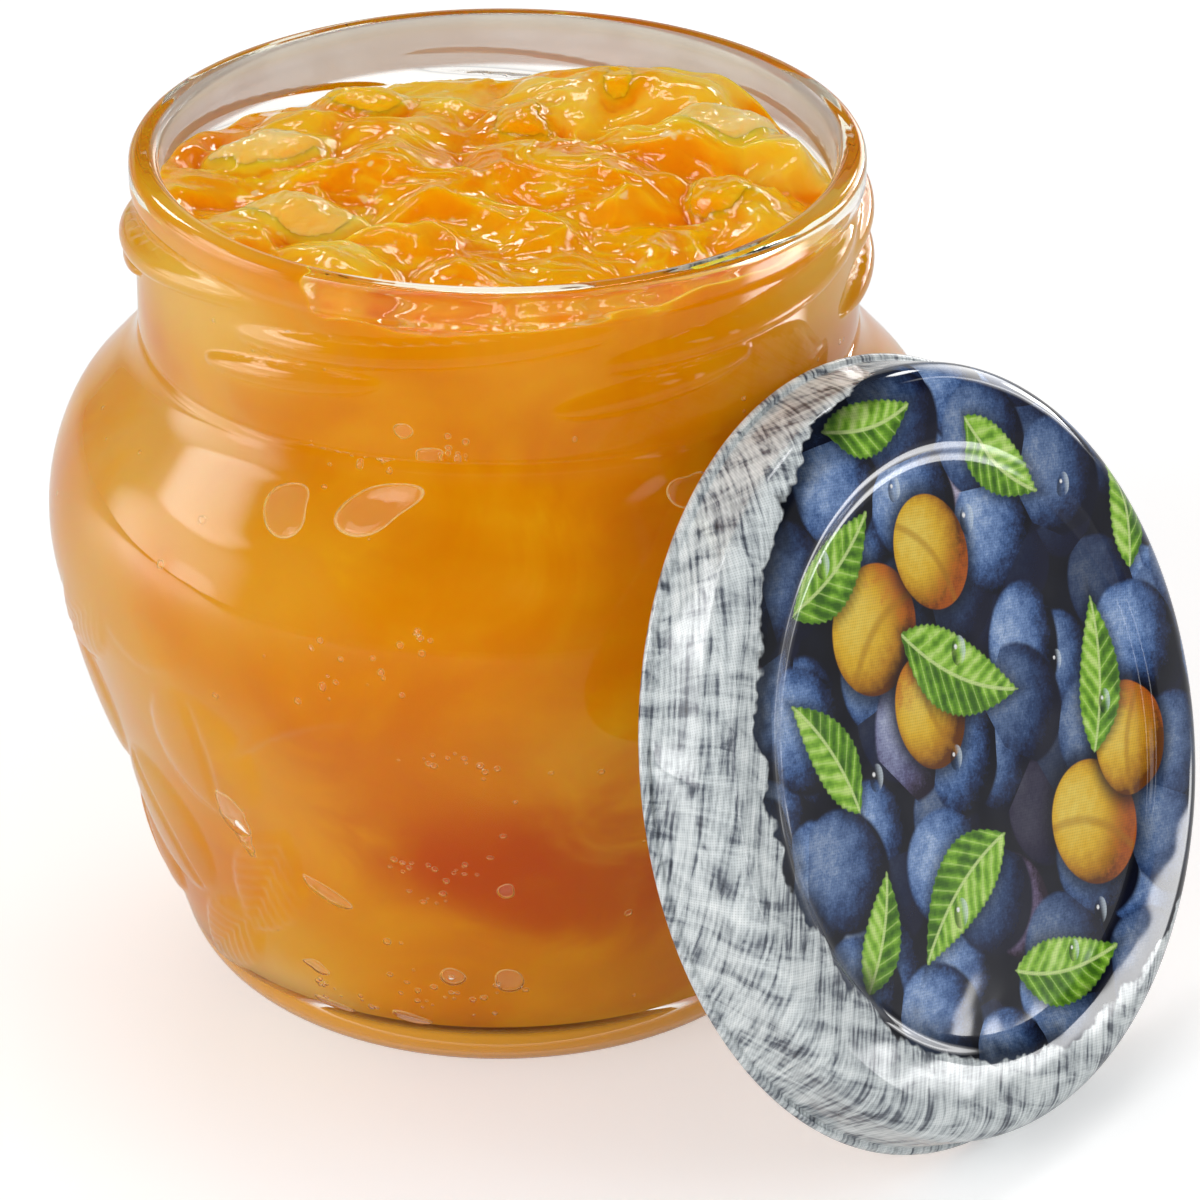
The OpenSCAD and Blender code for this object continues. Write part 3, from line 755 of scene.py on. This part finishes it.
def make_jam_top_material():
    s = Shader("jam_wet_top")
    where = s.place()
    big = s.noise(where, 55, 3, 0.5, 0.5)
    mid = s.noise(where, 150, 3, 0.55, 0.8)
    # Painted light on the crests and painted shade in the valleys, from the crest attribute.
    level = s.attribute("ridge") * 0.38 + big * 0.5 + (mid - 0.5) * 0.15
    deep = s.ramp(level, [(0.24, (0.8, 0.17, 0)), (0.38, (0.9, 0.27, 0)), (0.5, (0.95, 0.36, 0)),
        (0.62, (0.97, 0.46, 0.004)), (0.8, (0.97, 0.58, 0.04))])
    light = s.ramp(level, [(0.24, (0.93, 0.36, 0.004)), (0.42, (0.96, 0.46, 0.02)),
        (0.58, (0.97, 0.55, 0.09)), (0.8, (0.98, 0.68, 0.28))])
    colour = s.mix(s.step((big - 0.5) * 1.1 + s.attribute("pale"), 0.25, 0.85), deep, light)
    cloud = s.noise(where, 95, 2, 0.5, 1.5)
    colour = s.mix(s.step(cloud, 0.5, 0.66, 0, 0.45), colour, (0.97, 0.55, 0.01))
    colour = s.mix(s.step(cloud, 0.28, 0.44, 0.55, 0), colour, (0.88, 0.24, 0))
    fleck = s.step(s.noise(where, 330, 2, 0.5, 0.5), 0.66, 0.74, 0, 0.5)
    colour = s.mix(fleck, colour, (0.97, 0.8, 0.42))
    normal = s.bump(s.noise(where, 800, 3, 0.6) * 0.1 + mid, 0.0008, 0.3)
    return s.wet_flesh(colour, normal, (1, 0.72, 0.12), 0.003, 1.3)


def make_jam():
    line = resample(np.concatenate([[(0.3, FLOOR_T)], INNER, [(BORE_R, SKIN_H)]]), 1)
    az, line_r, line_h = lattice(line, JAM_COLS)
    t = np.radians(az)
    edge_h = contact_height(az)
    line_r = line_r + CONTACT * smoothstep(line_r, 5, 12)
    line_h = line_h - CONTACT * (line_h < FLOOR_T + 0.1)
    extra = np.linspace(0, 1, 10)[1:, None]
    skin_r = np.concatenate([line_r, (BORE_R + CONTACT) * np.ones((len(extra), JAM_COLS))])
    skin_h = np.concatenate([line_h, SKIN_H + (edge_h - SKIN_H) * extra])
    share = np.linspace(1, 0.012, JAM_RINGS)[1:, None]
    R = (BORE_R + CONTACT) * share * np.ones(JAM_COLS)
    x, y = R * np.cos(t), R * np.sin(t)
    h, pale = wrinkled(x, y)
    top, light = fruit_tops(x, y)
    rise = top - h
    film = top - 0.06 - 0.5 * smoothstep(rise, 0.8, 2.2)
    h = smooth_max(h, np.maximum(film, h - 6), 1.1)
    near = smoothstep(rise, -1.2, 0.6)
    pale = pale * (1 - near) + light * near
    rim = smoothstep(R, BORE_R * 0.9, BORE_R * 0.995)
    h = h * (1 - rim) + edge_h * rim
    calm = h.copy()
    for _ in range(24):
        calm[1:-1] = (calm[2:] + calm[:-2] + 2 * calm[1:-1]) / 4
        calm = (np.roll(calm, 1, 1) + np.roll(calm, -1, 1) + 2 * calm) / 4
    # Painted light and shade: crests above the smoothed top get paler and valleys deeper, in place of light
    # shining through thin jam.
    ridge = np.clip(0.5 + (h - calm) * 0.45, 0, 1)
    pts = np.concatenate([on_circle(skin_r, t, skin_h), np.stack([x, y, h], -1)])
    rows, side_rows = len(pts), len(skin_r)
    verts = np.concatenate([pts.reshape(-1, 3), [(0, 0, FLOOR_T - CONTACT), (0, 0, h[-1].mean())]]) * MM
    faces = tube_faces(rows, JAM_COLS)
    jam = new_object("jam_body", verts, faces, make_jam_side_material())
    jam.data.materials.append(make_jam_top_material())
    index = np.zeros(len(faces), np.int32)
    index[(side_rows - 1) * JAM_COLS:(rows - 1) * JAM_COLS] = 1
    index[-JAM_COLS:] = 1
    jam.data.polygons.foreach_set("material_index", index)
    for name, side_value, values in (("ridge", 0.5, ridge), ("pale", 0, pale)):
        on_side, ends = np.full(side_rows * JAM_COLS, side_value), [side_value] * 2
        set_attribute(jam, name, np.concatenate([on_side, values.ravel(), ends]))
    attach(jam, "jar")
    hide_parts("jam")


make_jam()


# Air bubbles between jam and glass: direction, height, half width, half height, turn, thickness,
# unevenness.
BUBBLES = [
    (237, 68.2, 2.6, 3.1, -20, 0.32, 0.3), (251.1, 69.9, 4.4, 2.7, 32, 0.36, 0.3),
    (226.6, 32, 2.1, 3.4, 12, 0.6, 0.35), (227.6, 28.9, 1.3, 2.2, 24, 0.4, 0.2),
    (240.9, 24.5, 3.3, 1.15, -32, 0.4, 0.12), (261.2, 14.7, 1.35, 1.4, 0, 0.5, 0.1),
    (271, 14.3, 1.5, 1.9, 10, 0.35, 0.1), (254.5, 78.5, 1, 0.9, 0, 0.35, 0.12),
    (258.7, 76.2, 1.5, 0.7, 5, 0.4, 0.12), (235.2, 7.3, 2.3, 1, -28, 0.5, 0.2),
    (252.1, 7.7, 2.4, 1.1, -32, 0.5, 0.2), (270.5, 27.5, 1, 1.1, 0, 0.4, 0.15),
    (235, 12.6, 1.6, 0.9, -10, 0.2, 0.3), (251.5, 74.8, 0.9, 0.5, 20, 0.3, 0.2),
    (336, 74, 3, 1.6, -10, 0.4, 0.25), (300, 70, 2.6, 1.9, 40, 0.35, 0.3),
    (318, 52, 1.6, 2.4, 10, 0.35, 0.2), (344, 66, 2.4, 1.6, -25, 0.35, 0.3),
    (12, 40, 1.8, 2.6, 15, 0.4, 0.3), (38, 62, 3, 2, -30, 0.35, 0.3), (66, 24, 1.6, 1.4, 0, 0.4, 0.15),
    (92, 58, 2.2, 3, 20, 0.35, 0.3), (121, 34, 2.8, 1.6, 30, 0.35, 0.25),
    (148, 66, 1.8, 2.2, -15, 0.35, 0.2), (176, 22, 1.5, 2, 10, 0.4, 0.2)]
# Clusters of tiny bubbles: direction, height, spread along and up in millimetres, number.
CLUSTERS = [
    (248.5, 57.1, 5, 4, 8), (254.9, 55.1, 3, 2, 7), (260.5, 60.3, 4, 4, 7), (261.5, 45.9, 2, 1.5, 5),
    (267.3, 45.9, 3, 3, 9), (256.5, 30.9, 4, 2, 9), (258.7, 26, 4, 2, 6), (264.6, 30.9, 3, 2, 7),
    (246, 74.4, 9, 1.2, 14), (261.6, 76.8, 3, 2, 9), (231, 85, 5, 2, 7), (262, 12, 10, 3, 20),
    (240, 10, 8, 2, 12)]
FINE_MESH, TINY_MESH = (9, 36), (4, 12)     # rings and columns of a large and a tiny bubble
LOOSE_BUBBLES, BUBBLE_GAP, TURN = 130, 0.12, 6.28


def on_inner_wall(az, h, along, up, lift):
    """Points on the inside of the glass, moved along it, up it and outwards, in millimetres."""
    slope = np.interp(h + 0.5, INNER[:, 1], INNER[:, 0]) - np.interp(h - 0.5, INNER[:, 1], INNER[:, 0])
    level = h + up / hypot(1, slope)
    out = np.stack([np.ones_like(level), -slope * np.ones_like(level)]) / hypot(1, slope)
    r = np.interp(level, INNER[:, 1], INNER[:, 0])
    return on_circle(r + lift * out[0], radians(az) + along / r, level + lift * out[1])


def make_air_material():
    s = Shader("air_in_glass")
    wave = s.bump(s.noise(s.place(), 900), 0.0001, 0.3)
    air = s.principled(base_color=(1, 0.97, 0.92), roughness=0, ior=1 / GLASS_IOR, transmission_weight=1,
        specular_tint=(0.5, 0.5, 0.5), normal=wave)
    # Painted highlight: a pale ring round each bubble's edge, where the curved air catches light.
    ring = s.step(s.attribute("edge"), 0.88, 0.99, 0, 0.38)
    return s.glass_surface(s.blend(ring, air, s.diffuse((1, 0.74, 0.36, 1))), (1, 1, 1))


def bubble_places():
    """Each bubble's place and shape, drawn at random where the tables don't give it."""
    def tiny(az, h, size):
        return (az, h, size, size * rng.uniform(0.8, 1.2), 0, size * 0.8, 0.1, *TINY_MESH)

    places = [(*b, *FINE_MESH) for b in BUBBLES]
    for az, h, along, up, number in CLUSTERS:
        for _ in range(number):
            size = rng.uniform(0.16, 0.46)
            at = az + degrees(rng.normal(0, along / 2) / 45), h + rng.normal(0, up / 2)
            places.append(tiny(*at, size))
    for _ in range(LOOSE_BUBBLES):
        size = rng.uniform(0.14, 0.5)
        at = rng.uniform(0, 360), rng.uniform(9, 86)
        places.append(tiny(*at, size))
    return places


def make_bubbles():
    verts, faces, edges = [], [], []
    for az, h, half_w, half_h, turn, thick, uneven, rings, cols in bubble_places():
        t = np.linspace(0, 2 * np.pi, cols, endpoint=False)
        edge = 1 + sum(uneven * rng.uniform(0.4, 1) / k * np.cos(k * t + rng.uniform(0, TURN))
                       for k in (2, 3, 4))
        rho = np.sin(np.linspace(0.5 * np.pi / rings, 0.5 * np.pi, rings))[:, None]
        rho = np.concatenate([rho, rho[-2::-1]])
        lift = np.concatenate([thick * np.sqrt(1 - rho[:rings] ** 5), 0 * rho[rings:]]) * np.ones(cols)
        edges += list((rho * np.ones(cols)).ravel()) + [0, 0]
        u, v = half_w * rho * edge * np.cos(t), half_h * rho * edge * np.sin(t)
        a = radians(turn)
        u, v = u * cos(a) - v * sin(a), u * sin(a) + v * cos(a)
        faces += tube_faces(len(rho), cols, len(verts), flip=True)
        verts += list(on_inner_wall(az, h, u, v, BUBBLE_GAP + lift).reshape(-1, 3))
        verts += list(on_inner_wall(az, h, np.zeros(2), np.zeros(2), BUBBLE_GAP + np.array([thick, 0])))
    bubbles = new_object("jam_bubbles", np.array(verts) * MM, faces, make_air_material())
    set_attribute(bubbles, "edge", edges)
    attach(bubbles, "jar")


rng = np.random.default_rng(7)
make_bubbles()


# Fruit pieces.
def make_fruit_material(name, colours, base):
    s = Shader(name)
    where = s.place()
    fibre = s.noise(s.vec("MULTIPLY", where, (1, 1, 3)), 200, 3, 0.55, 1)
    big = s.noise(where, 90, 3, 0.5, 0.5)
    colour = s.ramp(fibre * 0.35 + big * 0.65, list(zip((0.32, 0.5, 0.68), colours)))
    sunk = s.step((fibre - 0.5) * 2 + s.attribute("rise"), -0.2, 1.6, 0.9, 0)
    normal = s.bump(s.noise(where, 900, 3, 0.6) * 0.1 + fibre, 0.0006, 0.35)
    return s.wet_flesh(s.mix(sunk, colour, base), normal, (1, 0.65, 0.2), 0.0008, 1.32)


FRUIT_MATERIALS = {
    "pale": make_fruit_material("fruit_flesh_pale",
        [(0.95, 0.44, 0.02), (0.97, 0.53, 0.1), (0.98, 0.66, 0.26)], (0.97, 0.5, 0.07)),
    "deep": make_fruit_material("fruit_flesh_deep",
        [(0.92, 0.32, 0), (0.96, 0.42, 0.001), (0.97, 0.54, 0.02)], (0.96, 0.4, 0.001))}


for name, pts in FRUIT_POINTS.items():
    kind = FRUIT[name][-1]
    rise = pts[:, 2] - jam_surface(pts[:, 0], pts[:, 1])[0]
    piece = new_object("fruit_flesh_" + name, pts * MM, SPHERE_FACES, FRUIT_MATERIALS[kind])
    set_attribute(piece, "rise", rise)
    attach(piece, "jar")
    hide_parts("fruit_piece_" + name)


# Lid.
LID_H, SHEET, CURL, LID_EDGE, PANEL_R, PANEL_DROP, PANEL_SLOPE = 10, 0.3, 0.65, 3.4, 30.4, 0.9, 1.6
CURL_R = THREAD_R + 0.3 + CURL
LID_R = CURL_R + CURL
SKIRT_R = LID_R - 0.8
SKIRT_TOP = SKIRT_R - 0.5
LUGS, LUG_W, LUG_TIP = 6, 8.5, NECK_R + 0.5
PRINT_MM = 100     # what one unit of the lid's UV map measures
LID_LEAN, LID_TURN, LID_SPIN = 20, -38, 12
LID_AWAY, LID_UP = 52.8449, 39.284
LID_PLACE = (turn_z(LID_TURN) @ Matrix.Translation((LID_AWAY, 0, LID_UP))
    @ Matrix.Rotation(radians(90 - LID_LEAN), 4, "Y") @ turn_z(LID_SPIN))


def round_corner(a, b, c, radius, count=6):
    """Points that round the corner at b."""
    a, b, c = map(np.asarray, (a, b, c))
    u, v = (a - b) / np.linalg.norm(a - b), (c - b) / np.linalg.norm(c - b)
    steps = [i / count for i in range(count + 1)]
    return [b + radius * (u * (1 - t) ** 2 + v * t ** 2) for t in steps]


def lid_top(inset):
    """One face of the panel and outer ring, from the middle to the skirt."""
    panel, ring = (PANEL_R, LID_H - PANEL_DROP - inset), (PANEL_R + PANEL_SLOPE, LID_H - inset)
    return np.array([(0.3, panel[1]), *round_corner((20, panel[1]), panel, ring, 0.8),
        *round_corner(panel, ring, (36, ring[1]), 0.8), *arc((SKIRT_TOP - LID_EDGE, LID_H - LID_EDGE),
        LID_EDGE - inset, 90, 0, 14)])


def make_lid_outline():
    skirt_end = [(SKIRT_R - 0.02, 2 * CURL + 0.2), (SKIRT_R + 0.08, 2 * CURL - 0.02)]
    inner_end = [(SKIRT_R - SHEET - 0.02, 2 * CURL + 0.2)]
    curl = arc((CURL_R, CURL), CURL, 75, -215, 30)
    return np.concatenate([lid_top(0), skirt_end, curl, inner_end, lid_top(SHEET)[::-1]])


# The lid's print, in millimetres on its face, to the right and up as it stands.
LEAVES = [
    (-13, 25, 8.6, 3.7, 18), (-21, 8, 7.6, 3.4, 112), (2, 8, 10, 4.3, -38), (24, -1, 8.4, 3.6, 68),
    (-7, -13, 9.6, 4.2, 203), (6, -27, 8.6, 3.7, -14), (17, 26, 7.6, 3.3, -52), (-21, -12, 6.6, 3, 52),
    (35, 14, 6.5, 3, 80), (-2, 37, 7, 3, -8)]
GOLD = [(-9, 17, 7.2, 25), (3, 21, 6.4, -60), (-4, 6, 6.2, 100), (17, -15, 7.4, -30), (26, -9, 6.2, 60)]
DROPS = [
    (-14, 26, 1.1), (3, 10, 1.2), (24, -4, 1), (-8, -15, 1.2), (8, -26, 0.9), (10, 22, 1.2), (-2, 0, 1),
    (-15, 3, 1.1), (26, 20, 1), (14, -24, 1.1), (18, 3, 0.9), (0, 29, 1)]
CLOTH_CENTRE, CLOTH_REACH = (5, 4), 38
BERRY_R = 0.56     # as a share of a berry's cell


def on_motif(s, where, x, y, turn):
    """Coordinates along and across a motif."""
    a = radians(turn)
    rel = s.vec("SUBTRACT", where, (x, y, 0))
    return s.dot(rel, (cos(a), sin(a), 0)), s.dot(rel, (-sin(a), cos(a), 0))


def lit_side(side, side_share, bulge, bulge_share, grain, middle, grain_share):
    """How bright a round motif is: lit from one side, round, and grainy."""
    return side * side_share + bulge * bulge_share + (grain - middle) * grain_share


def paint_berries(s, colour, where, size, stretch, turn, keep, shift, dim):
    """A layer of round dark berries with bloom, each lit from the upper left."""
    a, lamp = radians(turn), radians(45 + turn)
    u = s.dot(where, (cos(a) / size, sin(a) / size, 0))
    v = s.dot(where, (-sin(a) / size / stretch, cos(a) / size / stretch, 0))
    cell = s.vec("ADD", s.join(u, v), shift)
    dots = s.node("TexVoronoi", {"Vector": cell, "Scale": 1, "Randomness": 0.62}, voronoi_dimensions="2D")
    middle, d, tag = (Value(s, dots.outputs[key]) for key in ("Position", "Distance", "Color"))
    outputs = s.node("SeparateColor", {0: tag}).outputs
    red, green, blue = (Value(s, outputs[i]) for i in range(3))
    side = s.dot(s.vec("SUBTRACT", cell, middle), (-cos(lamp) / BERRY_R, sin(lamp) / BERRY_R, 0))
    bulge = s.math("SQRT", s.math("MAXIMUM", 1 - (d / BERRY_R) ** 2, 0))
    lit = lit_side(side, 0.42, bulge, 0.62, s.noise(where, 0.55, 4, 0.7), 0.55, 0.55)
    lit = lit + (s.noise(where, 2.6, 2, 0.7) - 0.5) * 0.35
    dark = s.ramp(lit, [(0.1, (0.002, 0.003, 0.01)), (0.28, (0.014, 0.03, 0.095)),
        (0.46, (0.06, 0.13, 0.32)), (0.64, (0.19, 0.31, 0.58)), (0.88, (0.55, 0.68, 0.9))])
    lilac = s.ramp(lit, [(0.1, (0.03, 0.015, 0.03)), (0.4, (0.2, 0.13, 0.22)), (0.62, (0.42, 0.36, 0.5)),
        (0.9, (0.72, 0.7, 0.84))])
    tone = s.mix(s.step(red, 0.9, 0.91), dark, lilac)
    tone = s.mix(s.step(green, 0.3, 0.9, 0, 0.5 + dim), tone, (0.006, 0.008, 0.03))
    mask = s.step(d, BERRY_R - 0.05, BERRY_R, 1, 0) * s.math("LESS_THAN", blue, keep)
    return s.mix(mask, colour, tone)


def paint_leaf(s, colour, where, leaf):
    """A ribbed green leaf with a toothed edge and its shadow."""
    x, y, length, width, turn = leaf
    u, v = on_motif(s, where, x, y, turn)
    t = u / length
    bend = t * t * (-0.16 * length) + (v + 0.05 * length)
    across = abs(bend)
    span = (1 - abs(t) ** 2.2) * width * s.math("MAXIMUM", t * -0.28 + 0.95, 0.5)
    room = span - across + s.math("SINE", u * 7) * 0.1
    colour = s.mix(s.step(room, -2, 0.6, 0, 0.75), colour, (0.002, 0.003, 0.006))
    rib = s.math("SINE", (across * -0.85 + u) * 3.4)
    level = rib * 0.1 + s.noise(where, 0.35, 3, 0.6) + s.step(bend, -0.5, 0.5, -0.1, 0.1)
    green = s.ramp(level, [(0.25, (0.05, 0.15, 0.008)), (0.45, (0.15, 0.36, 0.02)),
        (0.6, (0.33, 0.62, 0.06)), (0.8, (0.62, 0.84, 0.24))])
    green = s.mix(s.step(rib, 0.86, 1, 0, 0.45), green, (0.6, 0.8, 0.25))
    green = s.mix(s.step(across, 0.1, 0.28, 0.85, 0), green, (0.66, 0.82, 0.32))
    green = s.mix(s.step(room, 0, 0.5, 0.6, 0), green, (0.1, 0.24, 0.02))
    return s.mix(s.step(room, -0.12, 0.12), colour, green)


def paint_gold(s, colour, where, fruit):
    """A round golden fruit with a red cheek and a shallow cleft."""
    x, y, size, turn = fruit
    u, v = on_motif(s, where, x, y, turn)
    u, v = u / size, v / (0.9 * size)
    d = s.vec("LENGTH", s.join(u, v))
    colour = s.mix(s.step(d, 0.95, 1.4, 0.85, 0), colour, (0.002, 0.002, 0.004))
    bulge = s.math("SQRT", s.math("MAXIMUM", d * d * -1 + 1, 0))
    side = s.dot(s.vec("SUBTRACT", where, (x, y, 0)), (-0.65 / size, 0.7 / size, 0))
    grain = s.noise(where, 0.8, 4, 0.7)
    lit = lit_side(side, 0.4, bulge, 0.58, grain, 0.5, 0.35)
    tone = s.ramp(lit, [(0.05, (0.14, 0.04, 0.003)), (0.3, (0.52, 0.23, 0.01)), (0.52, (0.8, 0.48, 0.03)),
        (0.75, (0.9, 0.68, 0.12)), (1, (1, 0.93, 0.58))])
    cheek = (grain - 0.5) * 1.6 + u
    tone = s.mix(s.step(cheek, 0.15, 1, 0, 0.75), tone, (0.55, 0.12, 0.01))
    cleft = abs(v - u * u * -0.3)
    tone = s.mix(s.step(cleft, 0.02, 0.12, 0.5, 0), tone, (0.42, 0.18, 0.01))
    return s.mix(s.step(d, 0.98, 1.01, 1, 0), colour, tone)


def paint_drop(s, colour, where, drop):
    """A bead of water: dark at its lit side, bright at the far side, with a small glint."""
    x, y, size = drop
    u, v = on_motif(s, where, x, y, 60)
    d = s.vec("LENGTH", s.join(u / (size * 1.4), v / size))
    side = (v + u * -0.4) / size
    inside = s.step(d, 0.92, 1, 1, 0)
    colour = s.mix(inside * s.step(side, -0.2, 0.9, 0, 0.65), colour, (0, 0.002, 0.006))
    colour = s.mix(inside * s.step(side, -0.9, 0.1, 0.6, 0), colour, (0.72, 0.82, 0.9))
    glint = s.vec("DISTANCE", where, (x - 0.25 * size, y + 0.45 * size, 0))
    return s.mix(s.step(glint, 0.12 * size, 0.3 * size, 0.95, 0), colour, (1, 1, 1))


def paint_cloth(s, colour, where):
    """Creased pale cloth along the left and lower edge."""
    away = s.vec("DISTANCE", where, (*CLOTH_CENTRE, 0))
    ragged = (s.noise(where, 0.16, 3, 0.6) - 0.5) * 7 + away
    u, v = on_motif(s, where, 0, 0, 62)
    crease = s.noise(s.join(u * 0.1, v * 0.62), 1, 4, 0.6, 1.2)
    level = s.noise(s.join(u * 0.42, v * 0.12), 1, 3, 0.6, 0.8) * 0.45 + crease * 0.62
    thread = s.math("SINE", v * 9) * 0.03
    cloth = s.ramp(level + thread, [(0.34, (0.02, 0.025, 0.035)), (0.44, (0.16, 0.18, 0.21)),
        (0.5, (0.42, 0.46, 0.48)), (0.58, (0.66, 0.71, 0.72)), (0.72, (0.88, 0.92, 0.92))])
    colour = s.mix(s.step(ragged, CLOTH_REACH - 5, CLOTH_REACH, 0, 0.9), colour, (0.002, 0.003, 0.006))
    return s.mix(s.step(ragged, CLOTH_REACH, CLOTH_REACH + 0.5), colour, cloth)


def make_lid_material():
    s = Shader("lid_print")
    face = s.vec("MULTIPLY", s.vec("SUBTRACT", s.value("UVMap", out="UV"), (0.5, 0.5, 0)),
        (PRINT_MM, PRINT_MM, 0))
    spin = radians(LID_SPIN)
    where = s.join(s.dot(face, (sin(spin), cos(spin), 0)),
        s.dot(face, (-cos(spin), sin(spin), 0)))
    colour = s.mix(s.noise(where, 0.3), (0.002, 0.002, 0.005), (0.006, 0.008, 0.02))
    for size, stretch, turn, keep, shift, dim in (
            (9.5, 1.15, 20, 0.95, (3.1, 7.7, 0), 0.45), (11, 1.2, -25, 0.7, (0.4, 2.2, 0), 0.2),
            (12, 1.1, 55, 0.55, (5.6, 9.1, 0), 0)):
        colour = paint_berries(s, colour, where, size, stretch, turn, keep, shift, dim)
    for paint, motifs in ((paint_gold, GOLD), (paint_leaf, LEAVES), (paint_drop, DROPS)):
        for motif in motifs:
            colour = paint(s, colour, where, motif)
    colour = paint_cloth(s, colour, where)
    u, v = on_motif(s, where, 0, 0, 30)
    screen = s.math("SINE", u * 15) * s.math("SINE", v * 15)
    colour = s.mix(s.step(screen, -0.2, 0.8, 0, 0.22), colour, (0.005, 0.006, 0.02))
    normal = s.bump(s.noise(where, 0.06, 2, 0.5), 0.0012, 0.25)
    return s.surface(s.principled(base_color=colour, roughness=0.45, specular_ior_level=0, coat_weight=1,
        coat_roughness=0.05, coat_ior=1.38, normal=normal, coat_normal=normal))


def make_coating(name, scale, dark, light, roughness, depth, strength):
    """A matt coating with a fine uneven skin."""
    s = Shader(name)
    n = s.noise(s.place(), scale)
    return s.surface(s.principled(base_color=s.mix(n, dark, light), roughness=roughness,
        normal=s.bump(n, depth, strength)))


def make_lid():
    line = make_lid_outline()
    az, r, h = lattice(line, LID_COLS)
    t = np.radians(az)
    apart = 360 / LUGS
    gap = np.abs((az + apart / 2) % apart - apart / 2) * pi / 180 * CURL_R
    lug = 1 - smoothstep(gap, LUG_W / 2 - 1.2, LUG_W / 2)
    low = (h < 2 * CURL) & (r < CURL_R + 0.2)
    depth = np.clip((CURL_R - r) / CURL, 0, 1)
    r = r - np.where(low, lug * depth * (CURL_R - CURL - LUG_TIP), 0)
    h = np.where(low, h + (CURL - h) * 0.3 * lug, h)
    panel_h, rows = LID_H - PANEL_DROP, len(line)
    verts = np.concatenate([on_circle(r, t, h).reshape(-1, 3), [(0, 0, panel_h), (0, 0, panel_h - SHEET)]])
    along = np.concatenate([[0], np.cumsum(np.hypot(*np.diff(line, axis=0).T))]) + line[0, 0]
    half = int(np.argmin(line[:, 1]))
    reach = np.where(np.arange(rows) <= half, along, line[:, 0])[:, None] / PRINT_MM
    uv = np.stack([reach * np.cos(t) + 0.5, reach * np.sin(t) + 0.5], -1).reshape(-1, 2)
    faces = tube_faces(rows, LID_COLS, flip=True)
    m = np.array(LID_PLACE)
    verts = (verts @ m[:3, :3].T + m[:3, 3]) * MM
    lid = new_object("lid_sheet", verts, faces, make_lid_material(), np.concatenate([uv, [(0.5, 0.5)] * 2]))
    lid.data.materials.append(make_coating("lid_inside", 260, (0.8, 0.79, 0.75), (0.85, 0.84, 0.8), 0.3,
        0.0002, 0.2))
    index = np.zeros(len(faces), np.int32)
    index[half * LID_COLS:(rows - 1) * LID_COLS] = 1
    index[-LID_COLS:] = 1
    lid.data.polygons.foreach_set("material_index", index)
    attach(lid, "lid")
    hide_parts("lid_shell")


make_lid()
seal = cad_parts["lid_seal"].data.materials
seal.clear()
seal.append(make_coating("sealing_ring", 300, (0.82, 0.8, 0.74), (0.88, 0.87, 0.82), 0.42, 0.0003, 0.3))
